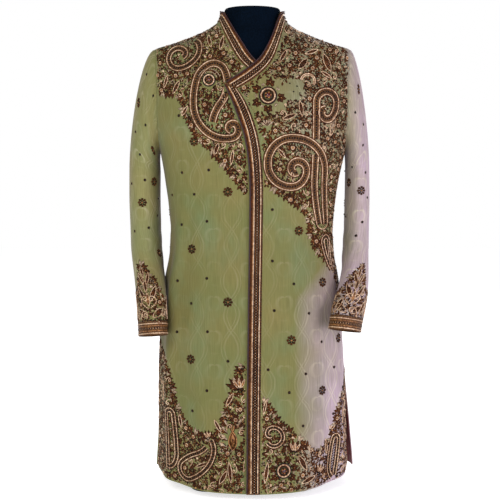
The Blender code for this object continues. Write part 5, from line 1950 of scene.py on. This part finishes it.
# %% Foot of the right front
side_paisley = walk(right_board.spot(-0.188, 0.050), 92, [
    (0.125, 0), (0.030, -175), (0.085, -4), (0.030, -40), (0.020, -80),
])
band(right_work, side_paisley, 0.0085)
lying = walk(right_board.spot(-0.090, 0.132), 300, [
    (0.030, -40), (0.045, -35), (0.040, -20), (0.034, -80), (0.030, -85), (0.045, -20), (0.030, 30),
])
band(right_work, lying, 0.0085)
sew(maple_leaf, right_work, (-0.164, 0.124, 255, 0.0170), (-0.205, 0.260, 80, 0.0140))
sew(tulip, right_work, (-0.026, 0.244, 96, 0.036))
sew(vase, right_work, (-0.042, 0.112, 0.060))
sew(star, right_work, (-0.044, 0.186, 0.0110, 20, 7))
sew(tulip, right_work, (-0.096, 0.136, 100, 0.020))
sew(
    edged_leaf, right_work,
    (-0.056, 0.208, 60, 0.034, 0.010, 50),
    (-0.068, 0.150, 118, 0.030, 0.010, 50),
    (-0.018, 0.062, 80, 0.040, 0.011, 30),
    (-0.046, 0.040, 96, 0.046, 0.015, 40),
    (-0.072, 0.036, 60, 0.034, 0.012, 60),
    (-0.122, 0.070, 24, 0.030, 0.011, 50),
    (-0.156, 0.150, 100, 0.030, 0.011, -60),
    (-0.200, 0.200, 88, 0.044, 0.010, 30),
)
RIGHT_FOOT = (
    ("left", 0.345), (-0.196, 0.300), (-0.180, 0.240), (-0.172, 0.200), (-0.148, 0.160),
    (-0.120, 0.140), (-0.092, 0.131), (-0.064, 0.160), (-0.056, 0.200), (-0.040, 0.250),
    (-0.025, 0.290), (-0.009, 0.305), (-0.010, 0.012), (-0.100, 0.018), ("left", 0.030),
)
foot_edge = right_board.outline(*RIGHT_FOOT)
fill(right_work, foot_edge, 23)
fringe(right_work, foot_edge[:12], 24)
right_front_work = right_work.made("right_front_work")

# %% [markdown]
# ## Sleeve work
# The cuff band has two pale cords with beads between. Above it, pairs of curled leaves stand all
# round, and a flame of leaves climbs the front of the arm. Florets and dots are thrown over the
# rest, closer on the outside of the arm than under it.

# %% Sleeve work
# Each row: height above the cuff's edge, radius, finish
CUFF_LINES = (
    (0.0035, 0.0014, CORD), (0.0250, 0.0014, CORD),
    (0.0085, 0.0008, COPPER), (0.0200, 0.0008, COPPER),
)
RING_INSET = 0.0016
CUFF_TOP = 0.036
LEAF_PAIRS = 8
SLEEVE_FLORET = 0.0108
FLAME_CLEAR = 0.028


def level_ring(board, up):
    """A path round a sleeve at one height above its cuff's edge."""
    left, right = np.interp(up, board.up, board.left), np.interp(up, board.up, board.right)
    across = np.arange(left + RING_INSET, right - RING_INSET, PATH_STEP)
    return np.stack([across, 0 * across + up], axis=-1)


def flame(work, foot, hand):
    """A tall group of leaves that climbs from the cuff, wide at its foot."""
    foot = np.asarray(foot)
    for side in (-1, 1):
        edged_leaf(work, foot + (side * 0.006, 0.004), 90 - side * 52, 0.036, 0.017, 90 * side)
        curl(work, foot + (side * 0.004, 0.026), 90 - side * 60, 0.020, side, CORD, 0.0012)
        edged_leaf(work, foot + (side * 0.004, 0.040), 90 - side * 24, 0.048, 0.015, 46 * side)
        curl(work, foot + (side * 0.010, 0.066), 90 - side * 40, 0.014, side, SILK, 0.0010)
        edged_leaf(work, foot + (side * 0.003, 0.086), 90 - side * 16, 0.036, 0.010, 40 * side)
    edged_leaf(work, foot + (0.0, 0.030), 90, 0.034, 0.011, 50, COPPER)
    edged_leaf(work, foot + (0.001 * hand, 0.066), 90, 0.036, 0.012, 50)
    edged_leaf(work, foot + (0.002 * hand, 0.106), 90, 0.034, 0.010, 44)


def sleeve_needlework(name, board, hand, flame_at, floret_places, dot_places):
    """All the needlework of one sleeve and its cuff."""
    work = Needlework(board)
    for up, radius, finish in CUFF_LINES:
        work.cord(level_ring(board, up), radius, finish)
    middle = level_ring(board, 0.0142)
    work.beads(evenly(middle, 0.0060), 0.0019, DARK)
    work.beads(evenly(middle, 0.0060, 1.0), 0.0012, CORD)
    work.beads(evenly(level_ring(board, 0.0315), 0.0048), 0.0013, DARK)
    work.take(level_ring(board, 0.028), 0.003)
    foot = board.spot(*flame_at)
    foot[1] = 0.034
    flame(work, foot, hand)
    left, right = board.left[4], board.right[4]
    for number in range(LEAF_PAIRS):
        across = mix(left, right, (number + 0.5) / LEAF_PAIRS)
        if abs(across - foot[0]) > FLAME_CLEAR:
            tall, side = (0.060, 1) if number % 2 else (0.042, -1)
            stem = (across, CUFF_TOP)
            edged_leaf(work, stem, 90 - 16 * side, tall, tall * 0.34, 60 * side)
            curl(work, (across + 0.010, CUFF_TOP), 80, 0.017, side, CORD, 0.0011)
            work.leaves([(across - 0.011, CUFF_TOP)], [100], tall * 0.5, 0.010, SILK)
    peak = foot[0]
    edge = np.array([
        (left, 0.031), (left, 0.075), (mix(left, peak, 0.5), 0.090), (peak - 0.030, 0.105),
        (peak - 0.012, 0.155), (peak, 0.180), (peak + 0.012, 0.155), (peak + 0.030, 0.105),
        (mix(peak, right, 0.5), 0.090), (right, 0.075), (right, 0.031),
    ])
    fill(work, edge, 31 + hand)
    fringe(work, edge[1:-1], 33 + hand)
    sew(floret, work, *[(x, z, SLEEVE_FLORET) for x, z in floret_places])
    sew(dot, work, *dot_places)
    for across, up, kind in (
        (-0.09, 0.20, floret), (-0.11, 0.33, floret), (-0.08, 0.45, floret), (0.12, 0.30, dot),
        (-0.10, 0.27, dot), (-0.08, 0.39, dot), (-0.125, 0.42, dot), (-0.07, 0.14, dot),
        (-0.045, 0.33, dot), (-0.05, 0.52, dot), (0.11, 0.38, floret), (-0.12, 0.52, dot),
    ):
        kind(work, (across, up))
    return work.made(name)


print("each cuff has", len(CUFF_LINES), "cords and room for", LEAF_PAIRS, "pairs of leaves")

# %% Both sleeves
left_sleeve_work = sleeve_needlework(
    "left_sleeve_work", left_sleeve_board, 1, (0.226, 0.45),
    ((0.2435, 0.9090), (0.2493, 0.6754)),
    (
        (0.2347, 0.8547), (0.2530, 0.8298), (0.2510, 0.7823), (0.2285, 0.7323), (0.2582, 0.7187),
        (0.2653, 0.6617), (0.2135, 0.6229), (0.2539, 0.6095), (0.2384, 0.5780),
    ),
)
right_sleeve_work = sleeve_needlework(
    "right_sleeve_work", right_sleeve_board, -1, (-0.230, 0.45),
    ((-0.2240, 0.7686), (-0.2530, 0.8796), (-0.2495, 0.6475), (-0.2120, 0.5354)),
    (
        (-0.2368, 0.9428), (-0.2212, 0.8932), (-0.2419, 0.8253), (-0.2647, 0.8117),
        (-0.2559, 0.7573), (-0.2744, 0.6982), (-0.2425, 0.7005), (-0.2159, 0.6565),
        (-0.2677, 0.5870), (-0.2363, 0.5915),
    ),
)

# %% [markdown]
# ## Back work
# The photograph doesn't show the back. A coat like this one is finished plainly there, with the
# same florets and dots set in a loose half drop and nothing else.

# %% Back work
back_work = Needlework(back_board)
for row in range(7):
    up = 0.130 + row * 0.125
    for step in range(-2, 3):
        across = step * 0.128 + (0.064 if row % 2 else 0.0)
        drift = 0.008 * math.sin(row * 2.1 + step * 1.7)
        floret(back_work, (across + drift, up + drift * 0.6))
        dot(back_work, (across + 0.052, up + 0.040))
        dot(back_work, (across - 0.040 + drift, up + 0.078))
back_needlework = back_work.made("back_work")

# %% [markdown]
# ## Cloth areas
# The table gives each sheet of cloth the size of its flat cut, what holds it and the needlework on
# it, and the area of each is printed beside its cut. The area is less than width times length,
# because armholes, the neck and the shaped sides are cut away.

# %% Sheets
def flat_area(piece):
    """Half of a thin closed shell's surface, which is its cloth."""
    return sum(face.area for face in piece.data.polygons) / 2


for piece, flat, held_by, sewn_on in (
    (left_front, (0.370, 1.060), ["dress_form"], [left_front_work]),
    (right_front, (0.450, 1.060), ["dress_form"], [right_front_work]),
    (back, (0.700, 1.060), ["dress_form"], [back_needlework]),
    (lining, (0.700, 0.320), ["back_cloth"], []),
    (left_sleeve, (0.330, 0.660), ["left_front_cloth", "back_cloth"], [left_sleeve_work]),
    (right_sleeve, (0.330, 0.660), ["right_front_cloth", "back_cloth"], [right_sleeve_work]),
    (left_cuff, (0.285, 0.030), ["left_sleeve_cloth"], []),
    (right_cuff, (0.270, 0.030), ["right_sleeve_cloth"], []),
    (collar, (0.035, 0.600), ["dress_form"], [collar_work]),
    (front_border, (0.033, 0.900), ["left_front_cloth"], [border_work]),
):
    cut = flat[0] * flat[1]
    area = flat_area(piece)
    print(piece.name, "cloth", round(area, 4), "of", round(cut, 4), "square metres")
    area = min(cut, area)

# %% [markdown]
# ## The dress form and its stand
# The form is a smooth torso without arms or legs, covered in navy cloth. Its own solids are right
# as they are, so they keep their meshes and get finished materials.

# %% Form and stand
for node, finish in (("dress_form", COVER), ("stand_pole", STEEL), ("base_plate", STEEL)):
    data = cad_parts[node].data
    data.materials.clear()
    data.materials.append(finish)
print("form and stand finished")

# %% [markdown]
# ## Studio
# A pale floor and a pale room, one large soft light from the front left, and a weaker lavender one
# from the right that brings out the cool sheen of the silk. The room looks white, and lights the
# coat only about a third as much, so that the cloth keeps its shading.

# %% Studio
ROOM_LIGHT = 0.36
FLOOR_GLOW = 0.66


def add_light(name, place, aim, size, power, colour):
    """A square soft light that faces a point."""
    light = bpy.data.lights.new(name, "AREA")
    light.size, light.energy, light.color = size, power, colour
    holder = bpy.data.objects.new(name, light)
    holder.location = place
    away = np.array(place) - np.array(aim)
    flat = math.hypot(away[0], away[1])
    heading = math.atan2(away[1], away[0]) + math.pi / 2
    holder.rotation_euler = (math.atan2(flat, away[2]), 0, heading)
    bpy.context.scene.collection.objects.link(holder)
    return holder


add_light("key_light", (-1.3, -2.4, 2.1), (0, 0, 0.6), 1.5, 49, (1.0, 0.98, 0.93))
add_light("fill_light", (2.0, -1.8, 1.0), (0, 0, 0.6), 1.4, 42, (0.90, 0.80, 1.0))
add_light("back_light", (0.6, 2.4, 2.0), (0, 0, 0.7), 1.6, 36, (1.0, 1.0, 1.0))
room = bpy.data.worlds.new("pale_room")
room.use_nodes = True
backdrop = room.node_tree.nodes["Background"]
backdrop.inputs["Color"].default_value = (1.0, 1.0, 1.0, 1.0)
seen = room.node_tree.nodes.new("ShaderNodeLightPath")
level = room.node_tree.nodes.new("ShaderNodeMapRange")
level.inputs["To Min"].default_value = ROOM_LIGHT
level.inputs["To Max"].default_value = 1.0
room.node_tree.links.new(seen.outputs["Is Camera Ray"], level.inputs["Value"])
room.node_tree.links.new(level.outputs["Result"], backdrop.inputs["Strength"])
bpy.context.scene.world = room


def add_floor():
    """A wide pale floor, which isn't part of the object."""
    bpy.ops.object.select_all(action="DESELECT")
    bpy.ops.mesh.primitive_plane_add(size=12, location=(0, 0, -0.0005))
    floor = bpy.context.object
    floor.name = "studio_floor"
    bpy.ops.object.transform_apply(location=True)
    paint = Paint("pale_floor", 0.8)
    speckle = paint.noise(paint.place(), 40.0)
    paint.shader.inputs["Emission Color"].default_value = (1.0, 1.0, 1.0, 1.0)
    paint.shader.inputs["Emission Strength"].default_value = FLOOR_GLOW
    tone = paint.blend(speckle, rgb(238, 238, 240), rgb(248, 248, 248))
    floor.data.materials.append(paint.finish(tone))
    return floor


print("floor:", add_floor().name)
